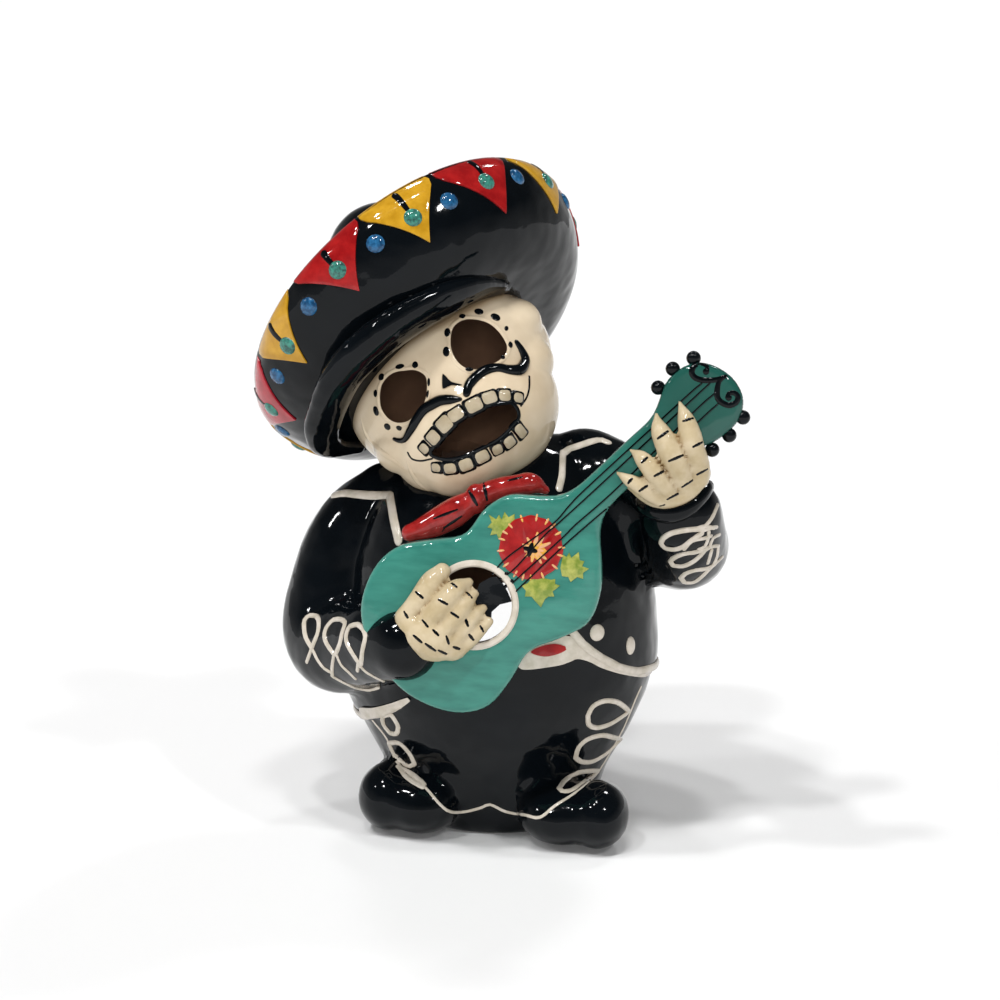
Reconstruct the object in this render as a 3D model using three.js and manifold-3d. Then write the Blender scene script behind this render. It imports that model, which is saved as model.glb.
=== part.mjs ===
// A skeleton mariachi, slip-cast hollow in earthenware and glazed, that holds a tealight. The eyes, the mouth
// and the guitar's sound hole are cut through the wall. An arched door in the back lets the tealight in.
// Millimetres, +Z up. The figure faces -Y and stands on z = 0.

import * as THREE from 'three';
import { mergeVertices } from 'three/addons/utils/BufferGeometryUtils.js';
import Module from 'manifold-3d';

const wasm = await Module();
wasm.setup();

const wall = 4.5;
const floorThickness = 6;
const braidRadius = 1.1;
const seamRadius = 1.4;
const pipingWidth = 2.6;
const pipingLift = 1;

// The model is drawn about the middle of its torso. This brings its outer box to stand centred on the origin.
const boxCentre = { x: -0.34, y: 3.06 };

// Barrel torso: half widths at heights, flattened front to back. The hem's heights go by degrees round from
// the front, towards the viewer's right.
const torso = {
  depth: 0.84,
  trousers: [[33, 0], [36, 2], [38, 10], [41, 20], [49, 35], [54.5, 48], [57, 58], [56, 72], [52, 90],
    [40, 110]],
  jacket: [[42.3, 20], [50.3, 35], [55.8, 48], [58.3, 58], [58.4, 67], [57.2, 82], [54, 98], [50, 114],
    [43, 128], [32, 140], [17, 147]],
  top: 149,
  hem: [[-180, 50], [-120, 44], [-85, 40], [-63, 41], [-45, 46], [-30, 53], [-15, 63], [-4, 84], [22, 92],
    [33, 77.5], [41, 72], [62, 63], [84, 60.5], [120, 57], [180, 50]],
  trouserHem: [[-46, 17], [-24, 9], [0, 13.5], [24, 8.5], [46, 18]],
};

const leftSleeve = {
  path: [[-40, 4, 112], [-50, 2, 103], [-58, -4, 84], [-58.5, -12, 67], [-45, -32, 68], [-31, -47, 74]],
  radii: [16.5, 17.5, 17.5, 18, 14.5, 13],
};
const rightSleeve = {
  path: [[30, 4, 124], [40, 0, 120], [56, -4, 108], [65, -10, 105], [66.5, -24, 110], [65.5, -36, 121]],
  radii: [19, 19, 18, 17.5, 16, 15],
};

// Armhole seams, seen from the front: over each shoulder and down the chest.
const armholes = [
  [[-61.4, 116.8], [-55.6, 122], [-43.2, 124.9], [-36.2, 125.1], [-33.8, 116.6], [-31.5, 109.2]],
  [[39.9, 139.4], [32.5, 137], [24.9, 137.9], [23.6, 133.3], [23.5, 126.6]],
];

const shoes = [
  { toe: [-35.5, -27, 12.4], toeRadii: [11.5, 14, 12.4], vamp: [-24, -28, 11.5], vampRadii: [15, 16, 11.5] },
  { toe: [39.5, -36, 12], toeRadii: [11.5, 15, 12], vamp: [27, -33, 11], vampRadii: [16, 16, 11] },
];

// Skull, in its own frame: x to the viewer's right, -y out of the face, z up through the crown.
const head = {
  place: [-16.3, -4, 154.9],
  lean: 7,
  roll: 36,
  turn: 11,
  cranium: { at: [1.5, 2, 6], radii: [38.5, 34, 30] },
  jaw: { at: [0.2, -6, -11], radii: [32, 28, 25.8] },
  cheekbones: [{ at: [-26.5, -10, -4.3], radii: [8.2, 10, 8.2] }, { at: [26, -10, -4], radii: [8, 10, 8] }],
  eyes: [{ x: -15.5, z: 9.1, width: 8, height: 9.35 }, { x: 16.2, z: 9.2, width: 9.5, height: 8.7 }],
  mouth: { x: -1.6, z: -16.6, halfLength: 16.2, halfHeight: 5.2, slope: 8.5 },
};

// Rows of teeth round the mouth: evenly spaced along it, standing off its middle line by an oval's height.
const toothRows = [
  { count: 8, from: -18.7, to: 18.5, middle: 2, reach: 21.5, rise: 9, height: 7.2 },
  { count: 7, from: -17.5, to: 14, middle: -1.5, reach: 20.5, rise: -8.2, height: 6.4 },
];
const tooth = { width: 5.6, depth: 4.4, lift: 0.3 };

const moustache = {
  right: [[3.3, -2.8], [7.9, -1.3], [12.7, -0.5], [17.4, -1.9], [21, -5.1], [24.3, -5.6], [27.4, -3.7],
    [28, 1.6]],
  left: [[0.3, -3.6], [-2.6, -2.1], [-6.2, 0], [-10.7, -0.2], [-15.1, -1.4], [-19.4, -3.4], [-23.1, -4.4],
    [-25.6, -2.8]],
  rightRadii: [1.2, 1.9, 2, 2, 2.1, 2.1, 1.9, 0.8],
  leftRadii: [0.7, 1.4, 1.9, 2.2, 2.1, 1.8, 1.5, 0.8],
};

// Sombrero, in its own frame: z up its axis from the middle of the band.
const hat = {
  place: [-17, 4, 165.6],
  lean: 28.5,
  roll: 47,
  brim: [[38, -2.5], [46, -1.5], [54, 3], [60.2, 9], [64.4, 17], [67.2, 26], [66.4, 32]],
  inside: [[62.6, 33], [62, 26], [58, 15.5], [50, 7.5], [38, 5]],
  crownShift: 3.5,
  crown: [[30, 3], [28, 26], [25.5, 44], [20, 57], [11, 66.5]],
  crownTop: 70,
  columns: 24,
};

// Raised triangles round the rim, by degrees from the front: six seen ones as they stand, six spaced behind.
const panels = {
  front: [-57.6, -27.6, 1.4, 28.3, 56, 86.8],
  count: 12,
  height: 21,
  lift: 0.9,
  sink: 1.5,
  gap: 1.2,
};
const beads = { radius: 3, sink: 1.2, downPanel: 10.4, downGap: 11.2 };

// Guitar, in its own frame: x along the strings to the headstock, z out of its face, from the sound hole.
const guitar = {
  place: [-3.1, -60, 92.6],
  faceUp: 8,
  neckAngle: 45.4,
  outline: [[-27, 27.5], [-15.5, 32.6], [-5, 32], [5, 25.6], [14, 19.6], [25, 21], [34, 19], [41, 10.5],
    [46, 3], [47, -8], [42, -17.5], [34.3, -26.3], [24, -31], [13, -28.2], [2.5, -24.3], [-9, -27.2],
    [-21, -28.2], [-31, -21.5], [-37.5, -8], [-38, 6], [-34, 19]],
  depth: 26,
  edge: 2.4,
  soundHole: 13,
  ring: 15.2,
  ringLift: 0.7,
  neck: { from: 40, to: 96, half: 5.9, flare: 2.5, centre: -1.2, front: 0.6, depth: 9, edge: 1.2 },
  headstock: [[88, 4.6], [94, 7.6], [99, 10], [105, 10], [110.5, 8], [114.5, 2.5], [116, -5], [113.8, -12],
    [108, -16], [101, -16.4], [94, -16.2], [88, -9]],
  headstockDepth: 9,
  pegs: [[95.7, 10.4], [103.6, 11.6], [111.1, 9.4], [109.4, -16.4], [102, -17.6], [94.5, -17.2]],
  pegRadius: 2.4,
  pegHeight: -3.2,
};

// The strings cross the sound hole as one strip of clay, from its rim to the strumming fingers.
const stringStrip = {
  outline: [[14.5, 3.4], [14.5, -6.2], [4, -7.2], [-3, -5.2], [-3, 0.4], [5, 3.4]],
  top: 0.6,
  thickness: 3,
};

// Bone hands, in the guitar's frame. Each finger is a chain of joints from knuckle to tip.
const fretHand = {
  palm: { at: [80, -22, -7], radii: [12.5, 8.5, 9] },
  fingers: [
    [[87, -21.5, -5], [92.4, -12, 3.6], [95.8, -4.6, 4.6], [97.6, 3.4, 1.6]],
    [[80.6, -20.5, -2], [83.6, -11.4, 5.2], [86.2, -2.6, 5.4], [89.4, 5, 1.8]],
    [[74.6, -19.8, -2.4], [76, -11, 5], [75.8, -4.2, 5], [75.3, 2.2, 1.8]],
    [[69, -17.5, -3], [69, -11, 3.8], [67.4, -5.8, 4], [66.3, -1, 1.6]],
  ],
  radii: [4.1, 3.7, 3, 0.7],
};
const strumHand = {
  palm: { at: [-20, 4.5, -0.5], radii: [9.5, 10.5, 8.2] },
  fingers: [
    [[-21, 6.2, 4.6], [-13.6, 7.6, 7], [-6, 8.8, 5.4], [1.6, 10.8, 0.6]],
    [[-20.6, 1.6, 5.2], [-13, 3, 7.6], [-5, 3.4, 6.4], [4.6, 5.4, 0.8]],
    [[-19.4, -2.8, 4.6], [-12, -1.8, 7], [-5, -1.8, 6], [0.2, -1.4, 1.6]],
    [[-16.6, -6.6, 3], [-10.6, -6, 5.2], [-5, -6.4, 4.6], [0, -7.4, 1]],
    [[-22, 12, 1.6], [-15.6, 14, 3.4], [-10, 15, 3.2], [-6.6, 18, 0.6]],
  ],
  radii: [3.4, 3.6, 3.2, 2.3],
};

// Neckerchief tied in a bow, along the torso's front.
const bow = {
  wings: [
    {
      path: [[-2, -44.5, 127], [-11, -46.5, 122.5], [-20, -47.5, 117.5], [-29, -47, 113]],
      radii: [3.4, 5.6, 5, 1.4],
    },
    { path: [[3, -44.5, 128.5], [8, -44, 131], [13, -43, 131.5], [17, -42, 130]], radii: [3.6, 4.2, 4, 2] },
  ],
  knot: { at: [0.8, -47.5, 129], radii: [5, 4, 5.6] },
};
const buttons = { places: [[38, 79.6], [48.6, 73]], radii: [2.6, 1.8, 2.7] };

// Arched back door for the tealight, cut through the wall from y = inside outwards.
const door = { halfWidth: 25, sill: 8, spring: 47, inside: 18, depth: 40 };

const rad = THREE.MathUtils.degToRad;

// A form's frame: turn swings it round its own axis, lean tips its top back, roll tips it to the viewer's
// left.
function frameOf([x, y, z], lean, roll, turn = 0) {
  const swing = new THREE.Euler(rad(-lean), rad(-roll), rad(turn), 'YXZ');
  return new THREE.Matrix4().makeRotationFromEuler(swing).setPosition(x, y, z);
}

function guitarFrame() {
  const swing = new THREE.Euler(rad(90 - guitar.faceUp), 0, rad(guitar.neckAngle), 'XYZ');
  return new THREE.Matrix4().makeRotationFromEuler(swing).setPosition(...guitar.place);
}

const headFrame = frameOf(head.place, head.lean, head.roll, head.turn);
const hatFrame = frameOf(hat.place, hat.lean, hat.roll);
const crownFrame = hatFrame.clone().multiply(new THREE.Matrix4().makeTranslation(hat.crownShift, 0, 0));
const neckFrame = guitarFrame();
const torsoFrame = new THREE.Matrix4().makeScale(1, torso.depth, 1);

function signedVolume(position, index) {
  const [a, b, c] = [new THREE.Vector3(), new THREE.Vector3(), new THREE.Vector3()];
  let volume = 0;
  for (let i = 0; i < index.length; i += 3) {
    a.fromBufferAttribute(position, index[i]);
    b.fromBufferAttribute(position, index[i + 1]);
    c.fromBufferAttribute(position, index[i + 2]);
    volume += a.dot(b.cross(c)) / 6;
  }
  return volume;
}

// Turns a closed geometry, placed by a frame, into a solid with its faces pointing out.
function solid(geometry, frame) {
  const bare = new THREE.BufferGeometry();
  bare.setAttribute('position', geometry.attributes.position.clone());
  if (geometry.index) bare.setIndex(geometry.index.clone());
  if (frame) bare.applyMatrix4(frame);
  const merged = mergeVertices(bare, 1e-4);
  const all = merged.index.array;
  let faces = [];
  for (let i = 0; i < all.length; i += 3) {
    const [a, b, c] = [all[i], all[i + 1], all[i + 2]];
    if (a !== b && b !== c && c !== a) faces.push(a, b, c);
  }
  if (signedVolume(merged.attributes.position, faces) < 0) faces = faces.reverse();
  const vertProperties = new Float32Array(merged.attributes.position.array);
  return new wasm.Manifold(new wasm.Mesh({ numProp: 3, vertProperties, triVerts: new Uint32Array(faces) }));
}

const join = (parts) => parts.reduce((sum, part) => sum.add(part));

function ball({ at, radii }, frame, columns = 8, rows = 6) {
  return solid(new THREE.SphereGeometry(1, columns, rows).scale(...radii).translate(...at), frame);
}

const smaller = ({ at, radii }) => ({ at, radii: radii.map((radius) => radius - wall) });

// A closed skin of rings from one pole to the other; pointAt gives a ring's point at an angle and a step.
function ringSkin(columns, rows, pointAt, firstPole, lastPole) {
  const points = [...firstPole];
  const index = [];
  for (let row = 0; row < rows; row++) {
    for (let column = 0; column < columns; column++) {
      points.push(...pointAt((column / columns) * 2 * Math.PI, row / (rows - 1)));
    }
  }
  points.push(...lastPole);
  const last = points.length / 3 - 1;
  const at = (row, column) => 1 + row * columns + (column % columns);
  for (let column = 0; column < columns; column++) {
    index.push(0, at(0, column + 1), at(0, column));
    for (let row = 0; row < rows - 1; row++) {
      index.push(at(row, column), at(row, column + 1), at(row + 1, column));
      index.push(at(row, column + 1), at(row + 1, column + 1), at(row + 1, column));
    }
    index.push(last, at(rows - 1, column), at(rows - 1, column + 1));
  }
  const geometry = new THREE.BufferGeometry();
  geometry.setAttribute('position', new THREE.Float32BufferAttribute(points, 3));
  geometry.setIndex(index);
  return geometry;
}

const curveThrough = (path) => new THREE.CatmullRomCurve3(path.map((point) => new THREE.Vector3(...point)));

// Round stations evenly along a limb's path, each with its centre, radius and direction.
function stations({ path, radii }, steps) {
  const curve = curveThrough(path);
  const girth = new THREE.SplineCurve(radii.map((r, i) => new THREE.Vector2(i / (radii.length - 1), r)));
  const { normals, binormals, tangents } = curve.computeFrenetFrames(steps, false);
  return tangents.map((tangent, i) => ({
    at: curve.getPointAt(i / steps),
    radius: girth.getPoint(curve.getUtoTmapping(i / steps)).y,
    axes: [normals[i], binormals[i]],
    tangent,
  }));
}

// A limb of round section along a smooth path, its radius eased from station to station. Each cap is a list
// of [distance out, width] rings, as shares of the end's radius, that close it off.
function limb(form, { steps = 8, sides = 12, caps = [[0.5, 0.87], [0.87, 0.5]], reach = 1, frame } = {}) {
  const rings = stations(form, steps);
  const capOf = (ring, way) => caps.map(([out, width]) => ({
    ...ring,
    at: ring.at.clone().addScaledVector(ring.tangent, way * out * ring.radius),
    radius: ring.radius * width,
  }));
  const poleOf = (ring, way) => {
    return ring.at.clone().addScaledVector(ring.tangent, way * reach * ring.radius).toArray();
  };
  const last = rings.at(-1);
  const all = [...capOf(rings[0], -1).reverse(), ...rings, ...capOf(last, 1)];
  const pointAt = (angle, t) => {
    const { at, radius, axes } = all[Math.round(t * (all.length - 1))];
    const out = axes[0].clone().multiplyScalar(Math.cos(angle) * radius);
    return out.addScaledVector(axes[1], Math.sin(angle) * radius).add(at).toArray();
  };
  return solid(ringSkin(sides, all.length, pointAt, poleOf(rings[0], -1), poleOf(last, 1)), frame);
}

// A cord of even thickness laid along points, with blunt ends.
function cord(path, radius, steps) {
  return limb({ path, radii: [radius, radius] }, { steps, sides: 3, caps: [], reach: 0.5 });
}

function turned(profile, columns, frame) {
  const geometry = new THREE.LatheGeometry(profile.map(([r, h]) => new THREE.Vector2(r, h)), columns);
  return solid(geometry.rotateX(Math.PI / 2), frame);
}

const flat = (points) => points.map(([x, y]) => new THREE.Vector2(x, y));

function smoothOutline(points, divisions) {
  const corners = points.map(([x, y]) => new THREE.Vector3(x, y, 0));
  const curve = new THREE.CatmullRomCurve3(corners, true, 'centripetal');
  return curve.getPoints(divisions).slice(0, -1).map((p) => new THREE.Vector2(p.x, p.y));
}

// A plate cut to an outline, its face at z = top and its edges rounded, or left square where edge is 0.
function plate(outline, top, depth, edge, frame) {
  const geometry = new THREE.ExtrudeGeometry(new THREE.Shape(outline), {
    depth: depth - 2 * edge,
    bevelEnabled: edge > 0,
    bevelThickness: edge,
    bevelSize: edge,
    bevelOffset: -edge,
    bevelSegments: 2,
  });
  return solid(geometry.translate(0, 0, top - depth + edge), frame);
}

// A value read between the pairs of a rising list.
function valueAt(pairs, x) {
  const inside = THREE.MathUtils.clamp(x, pairs[0][0], pairs.at(-1)[0]);
  const next = Math.max(1, pairs.findIndex(([at]) => at >= inside));
  const [[x0, y0], [x1, y1]] = [pairs[next - 1], pairs[next]];
  return y0 + ((y1 - y0) * (inside - x0)) / (x1 - x0);
}

const halfWidthAt = (profile, z) => valueAt(profile.map(([radius, height]) => [height, radius]), z);

// A point on the torso at an angle from the front, towards the viewer's right, and lifted off it.
function onTorso(profile, degreesRound, z, lift = 0) {
  const radius = halfWidthAt(profile, z) + lift;
  return [radius * Math.sin(rad(degreesRound)), -radius * torso.depth * Math.cos(rad(degreesRound)), z];
}

function trousers() {
  return turned([[0, 0], ...torso.trousers, [0, 118]], 22, torsoFrame);
}

// The jacket's skin, row by row from its hem up, with a raised lip of piping along the hem.
function jacket() {
  const collar = torso.jacket.at(-1)[1];
  const lip = [[0, pipingLift], [pipingWidth, pipingLift], [pipingWidth, 0]];
  const rows = 8;
  const pointAt = (angle, t) => {
    const degreesRound = THREE.MathUtils.radToDeg(angle) - 180;
    const hem = valueAt(torso.hem, degreesRound);
    const row = Math.round(t * (rows - 1));
    const [up, lift] = row < lip.length ? lip[row] : [pipingWidth, 0];
    const share = Math.max(0, row - lip.length + 1) / (rows - lip.length);
    return onTorso(torso.jacket, degreesRound, hem + up + (collar - hem - up) * share, lift);
  };
  return solid(ringSkin(24, rows, pointAt, [0, 0, 62], [0, 0, torso.top]));
}

function trouserHem() {
  return cord(torso.trouserHem.map(([angle, z]) => onTorso(torso.trousers, angle, z)), braidRadius, 8);
}

const sleeveRounds = [...stations(leftSleeve, 40), ...stations(rightSleeve, 40)];

// How far forward the clothes lie at a place seen from the front. Below the jacket only the trousers count.
function clothFront(x, z) {
  const waist = torso.hem.at(-1)[1];
  const radius = halfWidthAt(z < waist ? torso.trousers : torso.jacket, z);
  const depths = sleeveRounds.map((round) => {
    const left = round.radius ** 2 - (x - round.at.x) ** 2 - (z - round.at.z) ** 2;
    return left > 0 ? round.at.y - Math.sqrt(left) : 0;
  });
  return Math.min(...depths, -torso.depth * Math.sqrt(Math.max(0, radius ** 2 - x ** 2)));
}

const laid = (places) => places.map(([x, z]) => [x, clothFront(x, z), z]);

function shoePair() {
  return shoes.flatMap(({ toe, toeRadii, vamp, vampRadii }) => [
    ball({ at: toe, radii: toeRadii }, undefined, 10, 6),
    ball({ at: vamp, radii: vampRadii }, undefined, 10, 6),
  ]);
}

function skull() {
  const { cranium, jaw, cheekbones } = head;
  const cheeks = cheekbones.map((cheekbone) => ball(cheekbone, headFrame));
  return [ball(cranium, headFrame, 18, 9), ball(jaw, headFrame, 16, 8), ...cheeks];
}

// How far out of the face the skull's skin lies at a place on it.
function faceDepth(x, z) {
  const depths = [head.cranium, head.jaw, ...head.cheekbones].map(({ at, radii }) => {
    const left = 1 - ((x - at[0]) / radii[0]) ** 2 - ((z - at[2]) / radii[2]) ** 2;
    return left > 0 ? at[1] - radii[1] * Math.sqrt(left) : 0;
  });
  return Math.min(...depths);
}

function teeth({ count, from, to, middle, reach, rise, height }) {
  const slope = rad(head.mouth.slope);
  const row = [];
  for (let i = 0; i < count; i++) {
    const u = from + ((to - from) * i) / (count - 1);
    const v = rise * Math.sqrt(1 - ((u - middle) / reach) ** 2);
    const x = head.mouth.x + u * Math.cos(slope) + v * Math.sin(slope);
    const z = head.mouth.z - u * Math.sin(slope) + v * Math.cos(slope);
    const shape = new THREE.SphereGeometry(1, 5, 4).scale(tooth.width / 2, tooth.depth / 2, height / 2);
    shape.rotateY(slope + Math.atan((u - middle) / rise) / 2);
    row.push(solid(shape.translate(x, faceDepth(x, z) + tooth.lift, z), headFrame));
  }
  return row;
}

function moustacheHalf(points, radii) {
  const path = points.map(([x, z]) => [x, faceDepth(x, z) - 0.4, z]);
  return limb({ path, radii }, { steps: 7, sides: 5, caps: [], reach: 0.6, frame: headFrame });
}

// The sombrero's underside as one curve from band to rim.
const brimCurve = new THREE.SplineCurve(flat(hat.brim));

function sombrero() {
  const underside = brimCurve.getPoints(6).map((p) => [p.x, p.y]);
  const brim = turned([[0, underside[0][1]], ...underside, ...hat.inside, [0, 5]], hat.columns, hatFrame);
  return brim.add(turned([[0, 3], ...hat.crown, [0, hat.crownTop]], 16, crownFrame));
}

// A point on the brim's underside, at an angle from the front and a distance down from the rim.
function onBrim(degreesRound, down, lift) {
  const t = 1 - down / brimCurve.getLength();
  const p = brimCurve.getPointAt(t);
  const slope = brimCurve.getTangentAt(t);
  const radius = p.x + slope.y * lift;
  return [radius * Math.sin(rad(degreesRound)), -radius * Math.cos(rad(degreesRound)), p.y - slope.x * lift];
}

// Degrees round the brim of every triangle's middle.
function panelAngles() {
  const { front, count } = panels;
  const step = (360 - front.at(-1) + front[0]) / (count - front.length + 1);
  const behind = Array.from({ length: count - front.length }, (_, i) => front.at(-1) + (i + 1) * step);
  return [...front, ...behind];
}

// One raised triangle: its base along the rim, its point down the brim.
function panel(middle) {
  const half = 180 / panels.count - panels.gap;
  const corners = [[-1, 1.4], [0, 1.4], [1, 1.4], [0.42, panels.height * 0.6], [-0.42, panels.height * 0.6]];
  const grid = [];
  for (const lift of [panels.lift, -panels.sink]) {
    for (const [across, down] of corners) grid.push(...onBrim(middle + across * half, down, lift));
    grid.push(...onBrim(middle, panels.height, lift));
  }
  const face = [0, 1, 4, 1, 3, 4, 1, 2, 3, 4, 3, 5];
  const back = face.map((i) => i + 6).reverse();
  const edge = [0, 4, 5, 3, 2, 1];
  const sides = edge.flatMap((a, i) => {
    const b = edge[(i + 1) % edge.length];
    return [a, b, b + 6, a, b + 6, a + 6];
  });
  const geometry = new THREE.BufferGeometry();
  geometry.setAttribute('position', new THREE.Float32BufferAttribute(grid, 3));
  geometry.setIndex([...face, ...back, ...sides]);
  return solid(geometry, hatFrame);
}

// Every triangle carries a bead, and a bead sits in every gap between two of them.
function brimTrim() {
  const angles = panelAngles();
  const radii = [beads.radius, beads.radius, beads.radius];
  return angles.flatMap((angle, i) => {
    const next = i + 1 < angles.length ? angles[i + 1] : angles[0] + 360;
    const onPanel = onBrim(angle, beads.downPanel, panels.lift - beads.sink);
    const inGap = onBrim((angle + next) / 2, beads.downGap, -beads.sink);
    const pair = [onPanel, inGap].map((at) => ball({ at, radii }, hatFrame, 6, 3));
    return [panel(angle), ...pair];
  });
}

function guitarBody() {
  return plate(smoothOutline(guitar.outline, 36), 0, guitar.depth, guitar.edge, neckFrame);
}

function guitarNeck() {
  const { from, to, half, flare, centre, front, depth, edge } = guitar.neck;
  const heel = from + 14;
  const wide = half + flare;
  const outline = [[from, centre - wide], [heel, centre - half], [to, centre - half], [to, centre + half],
    [heel, centre + half], [from, centre + wide]];
  return plate(flat(outline), front, depth, edge, neckFrame);
}

function headstock() {
  const outline = smoothOutline(guitar.headstock, 18);
  const board = plate(outline, guitar.neck.front, guitar.headstockDepth, 1.8, neckFrame);
  const radii = [guitar.pegRadius, guitar.pegRadius, guitar.pegRadius];
  const pegs = guitar.pegs.map(([x, y]) => ball({ at: [x, y, guitar.pegHeight], radii }, neckFrame, 6, 3));
  return [board, ...pegs];
}

function disc(radius, top, depth) {
  const geometry = new THREE.CylinderGeometry(radius, radius, depth, 20).rotateX(Math.PI / 2);
  return solid(geometry.translate(0, 0, top - depth / 2), neckFrame);
}

function stringBridge() {
  return plate(flat(stringStrip.outline), stringStrip.top, stringStrip.thickness, 0, neckFrame);
}

function hand({ palm, fingers, radii }) {
  const shape = { steps: 4, sides: 5, caps: [], reach: 0.8, frame: neckFrame };
  return [ball(palm, neckFrame, 8, 5), ...fingers.map((path) => limb({ path, radii }, shape))];
}

function bowTie() {
  const wings = bow.wings.map((wing) => limb(wing, { steps: 4, sides: 6, caps: [[0.6, 0.75]] }));
  return [...wings, ball(bow.knot, undefined, 8, 5)];
}

// The hollow left by the drained slip: the torso, head, crown, upper arms and guitar body, a wall smaller.
function hollow() {
  const hips = [3, 4, 6].map((i) => torso.trousers[i]).map(([r, h]) => [r - wall, h]);
  const ribs = [5, 7, 8, 9, 10].map((i) => torso.jacket[i]);
  const chest = ribs.map(([r, h]) => [r - wall, h > 120 ? h - wall : h]);
  const profile = [[0, floorThickness], [31, floorThickness], ...hips, ...chest, [0, torso.top - wall]];
  const chamber = turned(profile, 12, torsoFrame);
  const skullRoom = [ball(smaller(head.cranium), headFrame, 10, 7), ball(smaller(head.jaw), headFrame, 8, 5)];
  const neck = { path: [[0, 0, 120], [-6, 0, 138]], radii: [16, 18] };
  const throat = limb(neck, { steps: 1, sides: 8, caps: [] });
  const crownProfile = [1, 2, 3].map((i) => hat.crown[i]).map(([r, h]) => [r - wall, h - wall]);
  const crown = turned([[0, 4], [25, 4], ...crownProfile, [0, hat.crownTop - wall]], 10, crownFrame);
  const upperArm = ({ path, radii }) => ({
    path: path.slice(0, 4),
    radii: radii.slice(0, 4).map((r) => r - wall),
  });
  const armShape = { steps: 3, sides: 6, caps: [[0.6, 0.75]] };
  const arms = [leftSleeve, rightSleeve].map((sleeve) => limb(upperArm(sleeve), armShape));
  const inset = smoothOutline(guitar.outline.map(([x, y]) => [2 + (x - 2) * 0.84, y * 0.84]), 18);
  const soundBox = plate(inset, -wall, guitar.depth, 0, neckFrame);
  return join([chamber, ...skullRoom, throat, crown, ...arms, soundBox]);
}

function eyeHole({ x, z, width, height }) {
  const geometry = new THREE.CylinderGeometry(1, 1, 40, 16).scale(width, 1, height);
  return solid(geometry.translate(x, -30, z), headFrame);
}

function mouthHole() {
  const { x, z, halfLength, halfHeight, slope } = head.mouth;
  const geometry = new THREE.CylinderGeometry(1, 1, 40, 20).scale(halfLength, 1, halfHeight);
  return solid(geometry.rotateY(rad(slope)).translate(x, -34, z), headFrame);
}

function backDoor() {
  const { halfWidth, sill, spring, inside, depth } = door;
  const arch = new THREE.Shape();
  arch.moveTo(-halfWidth, sill);
  arch.lineTo(halfWidth, sill);
  arch.lineTo(halfWidth, spring);
  arch.absarc(0, spring, halfWidth, 0, Math.PI);
  const geometry = new THREE.ExtrudeGeometry(arch, { depth, bevelEnabled: false, curveSegments: 8 });
  return solid(geometry.rotateX(Math.PI / 2).translate(0, inside + depth, 0));
}

function figurine() {
  const sleeves = [leftSleeve, rightSleeve].map((sleeve) => limb(sleeve, { steps: 7, sides: 11 }));
  const clothes = [trousers(), jacket(), ...sleeves, ...shoePair()];
  const forms = [...clothes, ...skull(), sombrero(), guitarBody(), guitarNeck(), ...headstock()];
  const soundHole = disc(guitar.soundHole, 4, 16);
  const cuts = [hollow(), ...head.eyes.map(eyeHole), mouthHole(), soundHole, backDoor()];
  const shell = cuts.reduce((body, cut) => body.subtract(cut), join(forms));
  const relief = [
    disc(guitar.ring, guitar.ringLift, 3).subtract(soundHole),
    stringBridge(),
    ...hand(fretHand),
    ...hand(strumHand),
    ...bowTie(),
    ...laid(buttons.places).map((at) => ball({ at, radii: buttons.radii }, undefined, 8, 4)),
    trouserHem(),
    ...armholes.map((places) => cord(laid(places), seamRadius, 6)),
    ...brimTrim(),
    ...toothRows.flatMap(teeth),
    moustacheHalf(moustache.right, moustache.rightRadii),
    moustacheHalf(moustache.left, moustache.leftRadii),
  ];
  const ground = solid(new THREE.BoxGeometry(300, 300, 40).translate(0, 0, -20));
  return shell.add(join(relief)).subtract(ground);
}

function meshOf(manifold, name, material) {
  const { vertProperties, triVerts } = manifold.getMesh();
  const geometry = new THREE.BufferGeometry();
  geometry.setAttribute('position', new THREE.BufferAttribute(new Float32Array(vertProperties), 3));
  geometry.setIndex(new THREE.BufferAttribute(new Uint32Array(triVerts), 1));
  geometry.computeVertexNormals();
  const mesh = new THREE.Mesh(geometry, material);
  mesh.name = name;
  mesh.position.set(-boxCentre.x, -boxCentre.y, 0);
  return mesh;
}

const glaze = new THREE.MeshStandardMaterial({ color: 0x101012, roughness: 0.08, metalness: 0 });

const group = new THREE.Group();
group.add(meshOf(figurine(), 'figurine', glaze));

export default group;
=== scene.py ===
# A glazed, slip-cast skeleton mariachi that holds a tealight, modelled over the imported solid.
import math

import bpy
from mathutils import Matrix, Vector
from mathutils.bvhtree import BVHTree


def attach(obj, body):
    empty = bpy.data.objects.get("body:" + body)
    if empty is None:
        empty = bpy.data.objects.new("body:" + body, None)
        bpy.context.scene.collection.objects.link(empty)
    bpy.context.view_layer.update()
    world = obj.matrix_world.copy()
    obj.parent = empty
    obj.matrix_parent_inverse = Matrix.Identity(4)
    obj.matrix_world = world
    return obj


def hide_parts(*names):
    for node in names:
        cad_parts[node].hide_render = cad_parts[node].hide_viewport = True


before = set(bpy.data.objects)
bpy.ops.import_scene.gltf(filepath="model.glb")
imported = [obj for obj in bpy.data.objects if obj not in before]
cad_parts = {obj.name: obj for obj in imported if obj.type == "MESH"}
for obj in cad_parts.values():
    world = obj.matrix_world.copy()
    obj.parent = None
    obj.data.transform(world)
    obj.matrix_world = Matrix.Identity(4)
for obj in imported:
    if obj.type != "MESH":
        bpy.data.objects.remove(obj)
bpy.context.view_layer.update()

# Everything is modelled in millimetres about the middle of the torso,
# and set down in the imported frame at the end.
setDown = {"shift": Vector((0.34, -3.06, 0)), "scale": 0.001}

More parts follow.
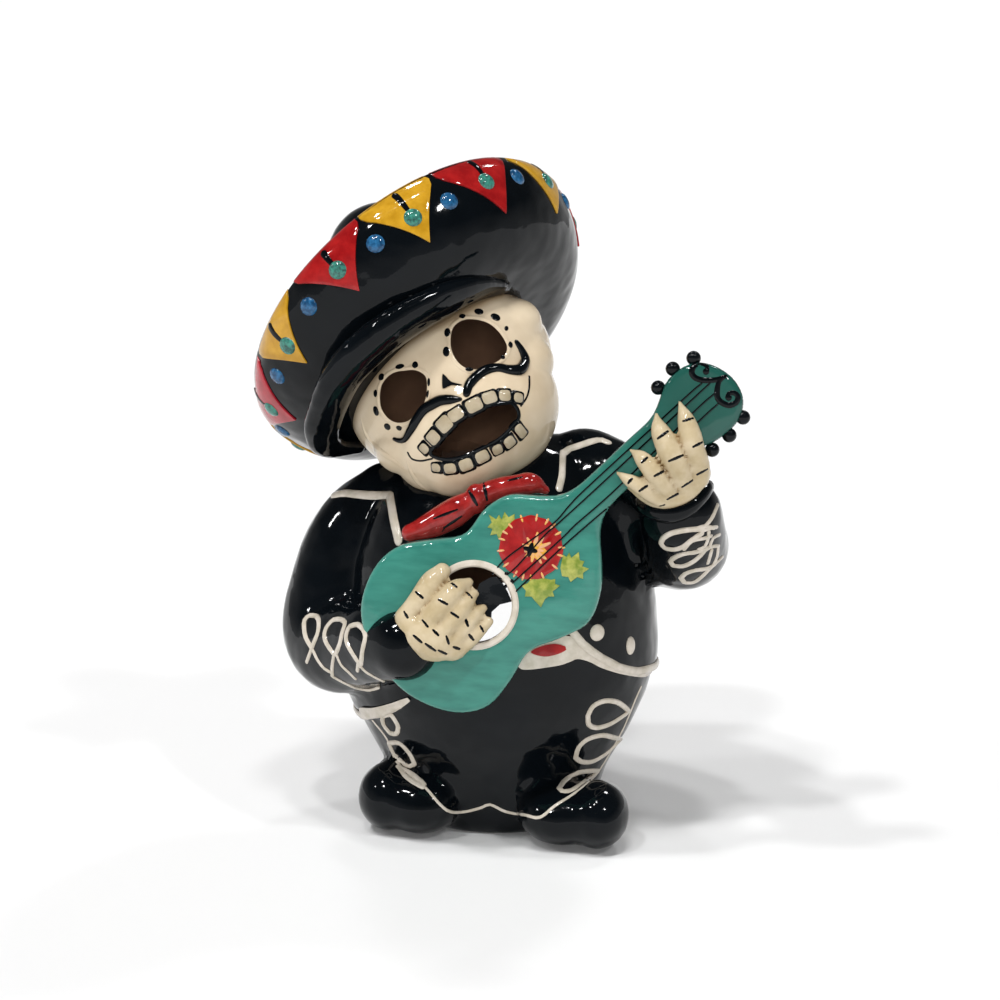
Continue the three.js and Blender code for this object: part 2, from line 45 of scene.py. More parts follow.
shot = {
    "azimuth": 5, "elevation": 12, "roll": 1, "distance": 900, "aim": Vector((0, 0, 116.5)),
    "lens": 90, "sensor": 36, "pixels": 1000, "clipStart": 0.01,
    "figureAt": 895,  # about how far away the figure's front is
}
pixelWidth = 0.355  # millimetres that a pixel spans on the figure


def toward(azimuth, elevation):  # the way to a camera or a lamp, by degrees round from the front, and up
    turn, rise = math.radians(azimuth), math.radians(elevation)
    return Vector((math.sin(turn) * math.cos(rise), -math.cos(turn) * math.cos(rise), math.sin(rise)))


def sightAxes():  # the photograph's right, its top, and the way back to the camera
    turn, roll = math.radians(shot["azimuth"]), math.radians(shot["roll"])
    back = toward(shot["azimuth"], shot["elevation"])
    right = Vector((math.cos(turn), math.sin(turn), 0))
    up = back.cross(right)
    return right * math.cos(roll) + up * math.sin(roll), up * math.cos(roll) - right * math.sin(roll), back


sightRight, sightUp, sightBack = sightAxes()
eyePoint = shot["aim"] + sightBack * shot["distance"]


def addObject(name, data):
    piece = bpy.data.objects.new(name, data)
    bpy.context.scene.collection.objects.link(piece)
    return piece


def addCamera():
    eye = bpy.data.cameras.new("photoCamera")
    eye.lens = shot["lens"]
    eye.sensor_width = shot["sensor"]
    eye.clip_start = shot["clipStart"]
    camera = addObject("photoCamera", eye)
    axes = Matrix((sightRight, sightUp, sightBack)).transposed()
    camera.matrix_world = Matrix.LocRotScale((eyePoint + setDown["shift"]) * setDown["scale"], axes, None)
    bpy.context.scene.camera = camera


addCamera()
print("camera set")


# small tools
def sightLine(x, y):  # the way from the camera through a place in the photograph
    spread = shot["sensor"] / shot["lens"] / shot["pixels"]
    middle = shot["pixels"] / 2
    return (sightRight * (x - middle) * spread + sightUp * (middle - y) * spread - sightBack).normalized()


def placeOf(at, lean, tip, turn=0):  # turned about its own axis, leant back, tipped to the viewer's left
    return (Matrix.Translation(at) @ Matrix.Rotation(math.radians(-tip), 4, "Y")
            @ Matrix.Rotation(math.radians(-lean), 4, "X") @ Matrix.Rotation(math.radians(turn), 4, "Z"))


def alongCurve(points, spacing, closed=False):  # a smooth run through points, evenly stepped
    points = [Vector(p).to_3d() for p in points]
    count = len(points)
    fine = []
    for i in range(count if closed else count - 1):
        if closed:
            a, b, c, d = (points[(i + k) % count] for k in (-1, 0, 1, 2))
        else:
            b, c = points[i], points[i + 1]
            a = points[i - 1] if i else b * 2 - c
            d = points[i + 2] if i + 2 < count else c * 2 - b
        steps = max(1, round((c - b).length / spacing))
        for k in range(steps):
            t = k / steps
            fine.append(0.5 * ((2 * b) + (c - a) * t + (2 * a - 5 * b + 4 * c - d) * t * t
                               + (3 * b - 3 * c + d - a) * t ** 3))
    if not closed:
        fine.append(points[-1])
    return fine


def flatCurve(points, spacing, closed=False):
    return [(p.x, p.y) for p in alongCurve(points, spacing, closed)]


def wayAt(points, i):  # the way that a run of points takes at one of them
    return Vector(points[min(i + 1, len(points) - 1)]) - Vector(points[max(i - 1, 0)])


def readAt(pairs, x):  # a value between the pairs of a rising list
    if x <= pairs[0][0]:
        return pairs[0][1]
    for (x0, y0), (x1, y1) in zip(pairs, pairs[1:]):
        if x <= x1:
            return y0 + (y1 - y0) * (x - x0) / (x1 - x0)
    return pairs[-1][1]


def clearSelection():
    if bpy.context.object and bpy.context.object.mode != "OBJECT":
        bpy.ops.object.mode_set(mode="OBJECT")
    bpy.ops.object.select_all(action="DESELECT")


def pick(*pieces):
    clearSelection()
    for piece in pieces:
        piece.select_set(True)
    bpy.context.view_layer.objects.active = pieces[0]


def settle(piece, place=None):  # its place goes into its mesh, before and after a move
    pick(piece)
    bpy.ops.object.transform_apply(location=True, rotation=True, scale=True)
    if place is not None:
        piece.matrix_world = place
        bpy.ops.object.transform_apply(location=True, rotation=True, scale=True)
    return piece


def inEditMode(piece, work):
    pick(piece)
    bpy.ops.object.mode_set(mode="EDIT")
    bpy.ops.mesh.select_all(action="SELECT")
    work()
    bpy.ops.object.mode_set(mode="OBJECT")
    return piece


def closeUp():
    bpy.ops.mesh.select_all(action="SELECT")
    bpy.ops.mesh.remove_doubles(threshold=0.001)
    bpy.ops.mesh.normals_make_consistent(inside=False)


def applyModifier(piece, kind, **settings):
    modifier = piece.modifiers.new(kind.lower(), kind)
    for key, value in settings.items():
        setattr(modifier, key, value)
    pick(piece)
    bpy.ops.object.modifier_apply(modifier=modifier.name)
    return piece


def joined(parts, name=None):
    pick(*parts)
    if len(parts) > 1:
        bpy.ops.object.join()
    piece = bpy.context.object
    if name:
        piece.name = name
    return piece


def addMesh(name, points, edges, faces):
    mesh = bpy.data.meshes.new(name)
    mesh.from_pydata(points, edges, faces)
    return addObject(name, mesh)


def addBall(at, radii, place=None, segments=32, rings=18):
    clearSelection()
    bpy.ops.mesh.primitive_uv_sphere_add(segments=segments, ring_count=rings, radius=1, location=at)
    ball = bpy.context.object
    ball.scale = radii
    return settle(ball, place)


def addTurned(profile, columns, place=None, closed=False):  # a profile of (radius, height) spun round Z
    edges = [(i, i + 1) for i in range(len(profile) - 1)] + ([(len(profile) - 1, 0)] if closed else [])
    turned = addMesh("turned", [(r, 0, h) for r, h in profile], edges, [])

    def spinRound():
        bpy.ops.mesh.spin(steps=columns, angle=2 * math.pi, center=(0, 0, 0), axis=(0, 0, 1))
        closeUp()
    return settle(inEditMode(turned, spinRound), place)


def addLimb(stations, place=None, roundness=5, steps=6):  # a tube through (x, y, z, radius), with ball ends
    clearSelection()
    bpy.ops.curve.primitive_bezier_curve_add()
    limb = bpy.context.object
    spline = limb.data.splines[0]
    spline.bezier_points.add(len(stations) - 2)
    spline.radius_interpolation = "CARDINAL"
    for point, station in zip(spline.bezier_points, stations):
        point.handle_left_type = point.handle_right_type = "AUTO"
        point.co = station[:3]
        point.radius = station[3]
    limb.data.bevel_depth = 1
    limb.data.bevel_resolution = roundness
    limb.data.resolution_u = steps
    limb.data.use_fill_caps = True
    bpy.ops.object.convert(target="MESH")
    limb = inEditMode(bpy.context.object, closeUp)
    ends = [addBall(end[:3], (end[3],) * 3, segments=20, rings=12) for end in (stations[0], stations[-1])]
    return settle(joined([limb, *ends]), place)


def addPlate(outline, top, depth, edge, place=None, segments=4):  # its face at z = top, its rims rounded
    clearSelection()
    bpy.ops.mesh.primitive_circle_add(vertices=len(outline), radius=1, fill_type="NGON")
    plate = bpy.context.object
    plate.matrix_world = Matrix()
    for vertex, point in zip(plate.data.vertices, outline):
        vertex.co = (point[0], point[1], top)

    def thicken():
        bpy.ops.mesh.extrude_region_move(TRANSFORM_OT_translate={"value": (0, 0, -depth)})
        closeUp()
        bpy.ops.mesh.select_all(action="DESELECT")
    inEditMode(plate, thicken)
    if edge:
        for rim in plate.data.edges:
            a, b = (plate.data.vertices[i].co.z for i in rim.vertices)
            rim.select = abs(a - b) < 1e-4
        bpy.ops.object.mode_set(mode="EDIT")
        bpy.ops.mesh.select_mode(type="EDGE")
        bpy.ops.mesh.bevel(offset=edge, segments=segments, affect="EDGES")
        bpy.ops.object.mode_set(mode="OBJECT")
    return settle(plate, place)


def modelled(parts, name, voxel, softening):  # parts pressed into one lump of clay, its joins softened
    lump = joined(parts, name)
    lump.data.remesh_voxel_size = voxel
    pick(lump)
    bpy.ops.object.voxel_remesh()
    return applyModifier(lump, "SMOOTH", factor=0.5, iterations=softening)


def paint(glaze, pieces):
    for piece in pieces:
        piece.data.materials.clear()
        piece.data.materials.append(glaze)
    return pieces


def combine(body, others, way):  # the others are joined to the body or cut from it; each keeps its glaze
    group = bpy.data.collections.new(way.lower())
    bpy.context.scene.collection.children.link(group)
    for other in others:
        for home in list(other.users_collection):
            home.objects.unlink(other)
        group.objects.link(other)
    applyModifier(body, "BOOLEAN", operation=way, solver="MANIFOLD", operand_type="COLLECTION",
                  collection=group, material_mode="TRANSFER")
    for other in others:
        bpy.data.objects.remove(other)
    bpy.data.collections.remove(group)
    return body


def sightTree(pieces):  # the surface that lines of sight fall on
    points, faces = [], []
    for piece in pieces:
        start = len(points)
        points += [v.co.copy() for v in piece.data.vertices]
        faces += [[start + i for i in face.vertices] for face in piece.data.polygons]
    return BVHTree.FromPolygons(points, faces)


def seen(tree, x, y):  # the point and normal that show at a place in the photograph, or the nearest to it
    way = sightLine(x, y)
    at, normal, _, _ = tree.ray_cast(eyePoint, way)
    if at is None:
        at, normal, _, _ = tree.find_nearest(eyePoint + way * shot["figureAt"])
        at, normal, _, _ = tree.find_nearest(eyePoint + way * (at - eyePoint).dot(way))
    return at, normal


def reachTo(tree, x, y):  # how far away that point is
    return (seen(tree, x, y)[0] - eyePoint).length


def traced(tree, places, spacing, closed=False):
    return [seen(tree, x, y) for x, y in flatCurve(places, spacing, closed)]


trailForm = {
    "ends": [(0.6, 0.75), (0.95, 0.25)],  # the rings beyond an end: how far and how wide, in half widths
    "root": 0.8,  # how deep it sits in the surface, in half widths
    "leastRoot": 0.5,  # and at least, in millimetres
}


def roundedEnd(last, before):
    at, normal, half = last
    out = (at - before[0]).normalized()
    return [(at + out * half * far, normal, half * wide) for far, wide in trailForm["ends"]]


def addTrail(rail, width, rise, closed=False, sides=8):  # a bead of slip along points with their normals
    widths = width if isinstance(width, list) else [width, width]
    spread = [(i / (len(widths) - 1), w / 2) for i, w in enumerate(widths)]
    run = [(*spot, readAt(spread, i / (len(rail) - 1))) for i, spot in enumerate(rail)]
    if not closed:
        run = roundedEnd(run[0], run[1])[::-1] + run + roundedEnd(run[-1], run[-2])
    points, faces = [], []
    count = len(run)
    for i, (point, normal, half) in enumerate(run):
        before = run[i - 1][0] if i or closed else point
        after = run[(i + 1) % count][0] if i + 1 < count or closed else point
        along = (after - before).normalized()
        across = along.cross(normal).normalized()
        up = across.cross(along)
        root = max(half * trailForm["root"], trailForm["leastRoot"])
        for k in range(sides):
            turn = 2 * math.pi * k / sides
            height = rise * half if math.sin(turn) > 0 else root
            points.append(point + across * half * math.cos(turn) + up * height * math.sin(turn))
    for i in range(count if closed else count - 1):
        for k in range(sides):
            a, b = i * sides, ((i + 1) % count) * sides
            faces.append((a + k, a + (k + 1) % sides, b + (k + 1) % sides, b + k))
    if not closed:
        faces += [tuple(range(sides)), tuple(reversed(range((count - 1) * sides, count * sides)))]
    return inEditMode(addMesh("trail", points, [], faces), closeUp)


def addTrails(tree, lines, form, closed=False):  # trails of one form, through places in the photograph
    return [addTrail(traced(tree, line, form["step"], closed), form["width"], form["rise"], closed,
                     form.get("sides", 8)) for line in lines]


def addDot(spot, wide, high, rise, slant=0, segments=16, rings=8):  # a flattened bead on a surface
    at, normal = spot
    right = (sightRight - normal * sightRight.dot(normal)).normalized()
    turned = Matrix.Rotation(math.radians(slant), 3, normal)
    across = turned @ right
    up = normal.cross(across)
    place = Matrix((across * wide / 2, up * high / 2, normal * rise)).transposed().to_4x4()
    return addBall((0, 0, 0), (1, 1, 1), Matrix.Translation(at) @ place, segments, rings)


prismForm = {"step": 3, "before": 6, "behindPatch": 4, "behindHole": 9}


def addSightPrism(tree, places, behind):  # all that an outline covers, to a little behind the surface
    outline = flatCurve(places, prismForm["step"], closed=True)
    reach = [reachTo(tree, x, y) for x, y in places]
    ends = (min(reach) - prismForm["before"], max(reach) + behind)
    points = [eyePoint + sightLine(x, y) * distance for distance in ends for x, y in outline]
    count = len(outline)
    faces = [tuple(range(count)), tuple(reversed(range(count, 2 * count)))]
    faces += [(i, (i + 1) % count, count + (i + 1) % count, count + i) for i in range(count)]
    return inEditMode(addMesh("prism", points, [], faces), closeUp)


def outward(places, step):  # an outline grown by a step from its middle
    middle = sum((Vector(p) for p in places), Vector((0, 0))) / len(places)
    return [tuple(Vector(p) + (Vector(p) - middle).normalized() * step) for p in places]


def copyOf(piece):
    twin = piece.copy()
    twin.data = piece.data.copy()
    bpy.context.scene.collection.objects.link(twin)
    return twin


def raisedPatch(body, tree, places, lift, glaze):  # the skin of a body behind an outline, raised a little
    patch = applyModifier(copyOf(body), "DISPLACE", strength=lift, mid_level=0)
    prism = addSightPrism(tree, places, prismForm["behindPatch"])
    paint(glaze, [patch, prism])
    return combine(patch, [prism], "INTERSECT")


# glazes
glazeSkin = {
    "ior": 1.5,  # that of glass
    "cloudDetail": 3, "cloudRoughness": 0.55,
    "swell": 11, "swellDepth": 1.6,  # slow waves where the glaze ran, in millimetres
    "grain": 1.6, "grainDepth": 0.6,  # stands for pinholes, and is coarser than they are, so that it shows
}


def linear(hexColour):
    parts = [int(hexColour[i:i + 2], 16) / 255 for i in (1, 3, 5)]
    return tuple(c / 12.92 if c <= 0.04045 else ((c + 0.055) / 1.055) ** 2.4 for c in parts) + (1,)


def addNode(tree, kind, settings, links=()):  # settings and links go by a socket's or a setting's name
    node = tree.nodes.new(kind)
    for key, value in settings.items():
        if isinstance(key, str) and hasattr(node, key):
            setattr(node, key, value)
        else:
            node.inputs[key].default_value = value
    for key, socket in links:
        tree.links.new(socket, node.inputs[key])
    return node


def mixGlaze(name, colours, patch=9, stretch=(1, 1, 1), contrast=(0.35, 0.65), stain=None, roughness=0.07,
             ripple=0.25, grit=0.03, turn=(0, 0, 0), shine=0.5):  # patch is the clouds' size in millimetres
    material = bpy.data.materials.new(name)
    material.use_nodes = True
    tree = material.node_tree
    shader = tree.nodes["Principled BSDF"]
    shader.inputs["Roughness"].default_value = roughness
    shader.inputs["IOR"].default_value = glazeSkin["ior"]
    shader.inputs["Specular IOR Level"].default_value = shine
    where = addNode(tree, "ShaderNodeTexCoord", {}).outputs["Object"]
    mapped = addNode(tree, "ShaderNodeMapping", {"Scale": stretch, "Rotation": turn}, [("Vector", where)])
    clouds = addNode(tree, "ShaderNodeTexNoise",
                     {"Scale": 1000 / patch, "Detail": glazeSkin["cloudDetail"],
                      "Roughness": glazeSkin["cloudRoughness"]},
                     [("Vector", mapped.outputs[0])])
    share = addNode(tree, "ShaderNodeMapRange", {"From Min": contrast[0], "From Max": contrast[1]},
                    [("Value", clouds.outputs[0])])
    tone = addNode(tree, "ShaderNodeMix",
                   {"data_type": "RGBA", 6: linear(colours[0]), 7: linear(colours[1])},
                   [(0, share.outputs[0])])
    if stain:  # thin glaze and dirt that settle in the recesses
        hidden = addNode(tree, "ShaderNodeAmbientOcclusion",
                         {"samples": 8, "Distance": stain["reach"] / 1000})
        depth = addNode(tree, "ShaderNodeMapRange",
                        {"From Min": stain["to"], "From Max": stain["from"],
                         "To Min": stain["strength"], "To Max": 0},
                        [("Value", hidden.outputs["AO"])])
        tone = addNode(tree, "ShaderNodeMix", {"data_type": "RGBA", 7: linear(stain["colour"])},
                       [(0, depth.outputs[0]), (6, tone.outputs[2])])
    tree.links.new(tone.outputs[2], shader.inputs["Base Color"])
    swell = addNode(tree, "ShaderNodeTexNoise", {"Scale": 1000 / glazeSkin["swell"], "Detail": 1},
                    [("Vector", where)])
    grain = addNode(tree, "ShaderNodeTexNoise", {"Scale": 1000 / glazeSkin["grain"], "Detail": 1},
                    [("Vector", where)])
    wave = addNode(tree, "ShaderNodeBump", {"Strength": ripple, "Distance": glazeSkin["swellDepth"] / 1000},
                   [("Height", swell.outputs[0])])
    fine = addNode(tree, "ShaderNodeBump", {"Strength": grit, "Distance": glazeSkin["grainDepth"] / 1000},
                   [("Height", grain.outputs[0]), ("Normal", wave.outputs[0])])
    tree.links.new(fine.outputs[0], shader.inputs["Normal"])
    return material


def glazeOver(material, share, colour):  # a second glaze over the first, thicker where the share is higher
    tree = material.node_tree
    shader = tree.nodes["Principled BSDF"]
    under = shader.inputs["Base Color"].links[0].from_socket
    over = addNode(tree, "ShaderNodeMix", {"data_type": "RGBA", 7: linear(colour)}, [(0, share), (6, under)])
    tree.links.new(over.outputs[2], shader.inputs["Base Color"])


def alongAxis(material, axis, start, end):  # a share that rises from one place to another along an axis
    tree = material.node_tree
    where = addNode(tree, "ShaderNodeTexCoord", {})
    reach = addNode(tree, "ShaderNodeVectorMath", {"operation": "DOT_PRODUCT", 1: axis},
                    [(0, where.outputs["Object"])])
    return addNode(tree, "ShaderNodeMapRange", {"From Min": axis.dot(start), "From Max": axis.dot(end)},
                   [("Value", reach.outputs["Value"])]).outputs[0]


def onEdges(material, facing, form):  # a share that rises where the surface turns away from its main face
    tree = material.node_tree
    shape = addNode(tree, "ShaderNodeNewGeometry", {})
    turn = addNode(tree, "ShaderNodeVectorMath", {"operation": "DOT_PRODUCT", 1: facing},
                   [(0, shape.outputs["Normal"])])
    return addNode(tree, "ShaderNodeMapRange",
                   {"From Min": form["side"], "From Max": form["face"], "To Min": form["most"], "To Max": 0},
                   [("Value", turn.outputs["Value"])]).outputs[0]


boneStain = {"reach": 4.5, "from": 0.86, "to": 0.35, "strength": 0.75, "colour": "#80623a"}
# Lead-free gloss glazes, brushed on and fired: pooled colour, a wet shine and slight waves.
# The black shows as its shine alone, broken by the waves.
blackGlaze = mixGlaze("glossBlackGlaze", ("#04070a", "#080c10"), patch=30, ripple=0.5, shine=0.23)
# Cream glazes, browned where dirt and thin glaze settle round what stands up.
boneGlaze = mixGlaze("creamBoneGlaze", ("#dccbb0", "#c9b69a"), patch=22, stain=boneStain, shine=0.35)
toothGlaze = mixGlaze("paleToothGlaze", ("#b2a58e", "#a3957b"), patch=5, stain=dict(boneStain, reach=1.5),
                      shine=0.35)
handGlaze = mixGlaze("creamHandGlaze", ("#c5b597", "#b19f7c"), patch=7,
                     stain=dict(boneStain, reach=3, strength=0.9), shine=0.35)
# Teal laid on in long strokes, which stay to be seen along the guitar.
tealGlaze = mixGlaze("tealBodyGlaze", ("#296b60", "#388072"), patch=4, stretch=(0.28, 1, 1),
                     turn=(0, 0, 0.8), contrast=(0.3, 0.7), ripple=0.2)
# Reds and yellow, a little uneven where the brush lifted.
redGlaze = mixGlaze("cherryRedGlaze", ("#860f12", "#a01b1b"), patch=5)
bowGlaze = mixGlaze("brickRedGlaze", ("#7d1716", "#9a2624"), patch=4, ripple=0.5)
pinkGlaze = mixGlaze("roseRedGlaze", ("#961a27", "#b02a36"), patch=5)
yellowGlaze = mixGlaze("mustardYellowGlaze", ("#ad7f18", "#c39426"), patch=5)
# Art glazes on the beads, speckled light and dark.
blueGlaze = mixGlaze("speckledBlueGlaze", ("#0e3759", "#296490"), patch=1.6)
seaGlaze = mixGlaze("speckledSeaGlaze", ("#2c4a45", "#3d8a7a"), patch=1.4)
# Slip and small touches of colour: opaque, with a soft edge of dirt on the cream.
creamGlaze = mixGlaze("creamSlipGlaze", ("#d0c7bb", "#bcb3a3"), patch=4,
                      stain=dict(boneStain, reach=1.5, strength=0.4))
limeGlaze = mixGlaze("limeGreenGlaze", ("#6d8030", "#a3a552"), patch=3)
peachGlaze = mixGlaze("peachGlaze", ("#cf9a78", "#d8a446"), patch=3)
goldGlaze = mixGlaze("goldenYellowGlaze", ("#c4892c", "#d9a63e"), patch=3)
# A thin brown wash, half matt, and the bare fired clay underneath, which is matt and gritty.
insideClay = mixGlaze("brownInsideWash", ("#6c5140", "#7a5d49"), patch=12, roughness=0.5, ripple=0.6,
                      shine=0.2)
bareClay = mixGlaze("bareEarthenware", ("#cfc4b2", "#bfb29c"), patch=6, roughness=0.75, ripple=0.1, grit=0.3)
print("glazes mixed")


# the suit
suitForm = {
    "depth": 0.84,  # front to back, as a share of the width
    "trousers": [(0, 0), (33, 0), (36, 2), (38, 10), (41, 20), (49, 35), (54.5, 48), (57, 58), (56, 72),
                 (52, 90), (40, 110), (0, 118)],  # radius and height
    "jacket": [(42.3, 20), (50.3, 35), (55.8, 48), (58.3, 58), (58.4, 67), (57.2, 82), (54, 98),
               (48.5, 112), (39, 125), (27, 136), (14, 143)],
    # round the front in degrees, and height
    "hem": [(-180, 48.5), (-120, 41.5), (-85, 37), (-63, 38), (-45, 43), (-30, 50.5), (-15, 62), (-4, 84),
            (22, 92), (33, 75.5), (41, 69), (52, 63), (62, 60), (84, 57.5), (120, 54.5), (180, 48.5)],
    "inside": 62,  # where it closes, within the trousers
    "top": 145,
    "columns": 96,
    "rings": 40,
    "sleeves": [
        [(-40, 4, 112, 16.5), (-50, 2, 103, 17.5), (-58, -4, 84, 17.5), (-58.5, -12, 67, 18),
         (-44, -34, 70.5, 15.5), (-35.5, -46.5, 74.5, 14.4), (-26.5, -58.5, 77.5, 12.8)],
        [(30, 4, 124, 19), (40, 0, 120, 19), (56, -4, 108, 17.6), (65, -10, 105, 16.5),
         (66.5, -24, 110, 15.3), (65.5, -36, 121, 14.6)],
    ],
    "sleeveRoundness": 8,
    "shoes": [((-35.5, -27, 12.4), (11.5, 14, 12.4)), ((-24, -28, 11.5), (15, 16, 11.5)),
              ((39.5, -36, 12), (11.5, 15, 12)), ((27, -33, 11), (16, 16, 11))],
    "voxel": 2.4,
    "softening": 4,
}
torsoPlace = Matrix.Diagonal((1, suitForm["depth"], 1, 1))
jacketWidths = [(height, radius) for radius, height in suitForm["jacket"]]


def onJacket(around, height, lift=0):  # a point on the jacket and its normal, by degrees from the front
    radius = readAt(jacketWidths, height) + lift
    slope = (readAt(jacketWidths, height + 2) - readAt(jacketWidths, height - 2)) / 4
    turn = math.radians(around)
    at = Vector((radius * math.sin(turn), -radius * suitForm["depth"] * math.cos(turn), height))
    return at, Vector((math.sin(turn), -math.cos(turn) / suitForm["depth"], -slope)).normalized()


def addJacket():
    rings = suitForm["rings"]
    jacket = addBall((0, 0, 0), (1, 1, 1), segments=suitForm["columns"], rings=rings)
    collar = suitForm["jacket"][-1][1]
    pole = 0.5 / rings
    for vertex in jacket.data.vertices:
        share = math.acos(max(-1, min(1, -vertex.co.z))) / math.pi
        around = math.degrees(math.atan2(vertex.co.x, -vertex.co.y))
        if share < pole:
            vertex.co = (0, 0, suitForm["inside"])
        elif share > 1 - pole:
            vertex.co = (0, 0, suitForm["top"])
        else:
            hem = readAt(suitForm["hem"], around)
            up = (share - 1 / rings) / (1 - 2 / rings)
            vertex.co = onJacket(around, hem + (collar - hem) * up)[0]
    return inEditMode(jacket, closeUp)


def addSuit():
    trousers = addTurned(suitForm["trousers"], suitForm["columns"], torsoPlace)
    smooth = suitForm["sleeveRoundness"]
    arms = [addLimb(arm, roundness=smooth, steps=smooth) for arm in suitForm["sleeves"]]
    feet = [addBall(at, radii) for at, radii in suitForm["shoes"]]
    return modelled([trousers, addJacket(), *arms, *feet], "suit", suitForm["voxel"], suitForm["softening"])


suit = addSuit()
paint(blackGlaze, [suit])
suitTree = sightTree([suit])
print("suit modelled")

# the skull
skullForm = {
    "at": (-16.3, -4, 154.9), "lean": 7, "tip": 36, "turn": 11,
    "balls": [((1.5, 2, 6), (39, 34.5, 30.4)), ((0.2, -6.5, -11), (32.4, 29.5, 26.2)),
              ((-24, -10, -5), (11.5, 13, 10.5)), ((24.5, -9, -4.5), (12.6, 13, 11)),
              ((-1.6, -15, -16), (23, 20.5, 14)), ((-7, -17, -20), (19, 16.5, 14.6)),
              ((28.5, -7, 8.5), (12.5, 13, 10.5))],
    "segments": 48,
    "rings": 28,
    "voxel": 1.35,
    "softening": 4,
}
headPlace = placeOf(skullForm["at"], skullForm["lean"], skullForm["tip"], skullForm["turn"])


def addSkull():
    forms = [addBall(at, radii, headPlace, skullForm["segments"], skullForm["rings"])
             for at, radii in skullForm["balls"]]
    return modelled(forms, "skull", skullForm["voxel"], skullForm["softening"])


skull = addSkull()
paint(boneGlaze, [skull])
skullTree = sightTree([skull])
print("skull modelled")

# Outlines, lines and dots are places in the photograph. Widths and rises are in millimetres,
# but for a dot's width and height and the moustache's widths, which are in pixels.
facePaint = {
    "rightEye": [(454.6, 325.6), (460.5, 321.2), (468, 319.2), (479.1, 320.1), (489.4, 323.7),
                 (498.2, 331.1), (504, 339.3), (507, 346.4), (506, 353.1), (500.5, 359.3), (492.5, 363.8),
                 (481, 368.2), (470.3, 369.3), (461.5, 365.4), (454.9, 357.9), (451.2, 348.7),
                 (450.6, 338.4), (451.8, 331)],
    "leftEye": [(380.1, 392.7), (382.3, 383.9), (388.1, 376.5), (395.5, 372.1), (404.3, 370.7),
                (413.1, 369.9), (420.4, 372.1), (425.5, 376.5), (427, 383.9), (426.3, 395.6),
                (423.3, 404.4), (417.5, 410.3), (413.1, 416.2), (408.7, 420.6), (401.3, 422.8), (394, 422),
                (386.7, 416.9), (381.5, 408.8), (380.1, 401.5)],
    "eyeRim": {"step": 3, "width": 1.3, "rise": 0.3},
    "eyeRimOut": 2.4,
    "mouth": [(431.4, 450.6), (438, 444), (446.8, 435.2), (455.6, 425), (467.4, 416.2), (482, 408.8),
              (496.7, 405.2), (508.4, 403.7), (513.6, 405.9), (517.2, 411.8), (517.2, 419.1),
              (511.4, 426.4), (504, 433.8), (493.8, 441.1), (482, 447), (470.3, 452.8), (458.6, 457.2),
              (446.8, 458.7), (438, 457.2), (432.1, 454.3)],
    "mouthRim": {"step": 3, "width": 1.4, "rise": 0.5},
    "mouthRimOut": 1.5,
    "dots": [(399.9, 366.7, 9, 5, 0), (415.1, 365.1, 5.6, 6.6, 0), (381.5, 377.1, 7, 6.6, 0),
             (375.7, 393.4, 5.3, 6.6, 0), (376, 411, 6.2, 8.8, -20), (387.3, 426.7, 6.6, 6.6, 0),
             (399, 427.6, 5.9, 5.6, 0), (428.8, 382, 2.6, 8, 0), (427.7, 393.9, 2.2, 7.3, 10),
             (462.4, 316.4, 5.9, 5.9, 0), (478.9, 311.6, 8, 7.3, 0), (495.5, 317.1, 9, 8, 20),
             (447.4, 332.5, 5.6, 9, 0), (446.4, 351.6, 6.2, 9, 0), (506.4, 328.4, 3.8, 5.3, 20),
             (510.3, 344.7, 5, 5.9, 0), (503, 357.2, 4.4, 4, 20), (469.1, 369.5, 7.3, 4, 0)],
    "dotScale": 1.15,
    "dotRise": 0.4,
    "dotSegments": 14,
    "dotRings": 7,
    "jaw": [
        [(361, 419), (366, 435), (379, 450), (392.5, 460), (404, 469)],
        [(407, 462), (412, 474), (419, 484), (428, 491)],
    ],
    "jawCrease": {"step": 3, "width": [0.8, 2.4, 2.4, 0.8], "rise": 0.3, "sides": 10},
    "nose": [(442.7, 373.6), (446.1, 376.5), (451.2, 381.7), (462.2, 384.6), (460, 385.6), (451.2, 385.1),
             (445.3, 388), (442.7, 388.6), (442.1, 380.9)],
    "noseLift": 0.3,
    "smiles": [
        [(407.9, 452.8), (411.6, 458.7), (420.4, 460.9), (432.1, 458.7)],
        [(529.3, 376.5), (529.3, 386.8), (526.8, 397.1), (520.9, 405.9)],
    ],
    "smile": {"step": 3, "width": [0.9, 0.8, 0.7], "rise": 0.5},
    "moustache": [
        {"line": [(466.6, 393.4), (468.8, 385.3), (476.2, 376.5), (486.4, 369.9), (498.2, 367.7),
                  (509.9, 369.9), (520.2, 369.2), (525.3, 360.4), (521.6, 350.1), (516.5, 342.1)],
         "widths": [6.6, 8.8, 8.8, 8.8, 8.1, 8.8, 10.3, 8.8, 6.6, 4.4]},
        {"line": [(460, 399.3), (451.2, 399.4), (440.9, 400.3), (432.1, 404.4), (423.3, 410.3),
                  (416, 420.6), (410.1, 430.8), (404.3, 439.6), (398.4, 440.4), (394, 438.9)],
         "widths": [3.7, 7.8, 9.2, 9.6, 9.2, 8.8, 8.8, 7.3, 5.1, 2.9]},
    ],
    "moustacheScale": 1.2,
    "hair": {"step": 2.5, "rise": 0.75, "sides": 12},
}
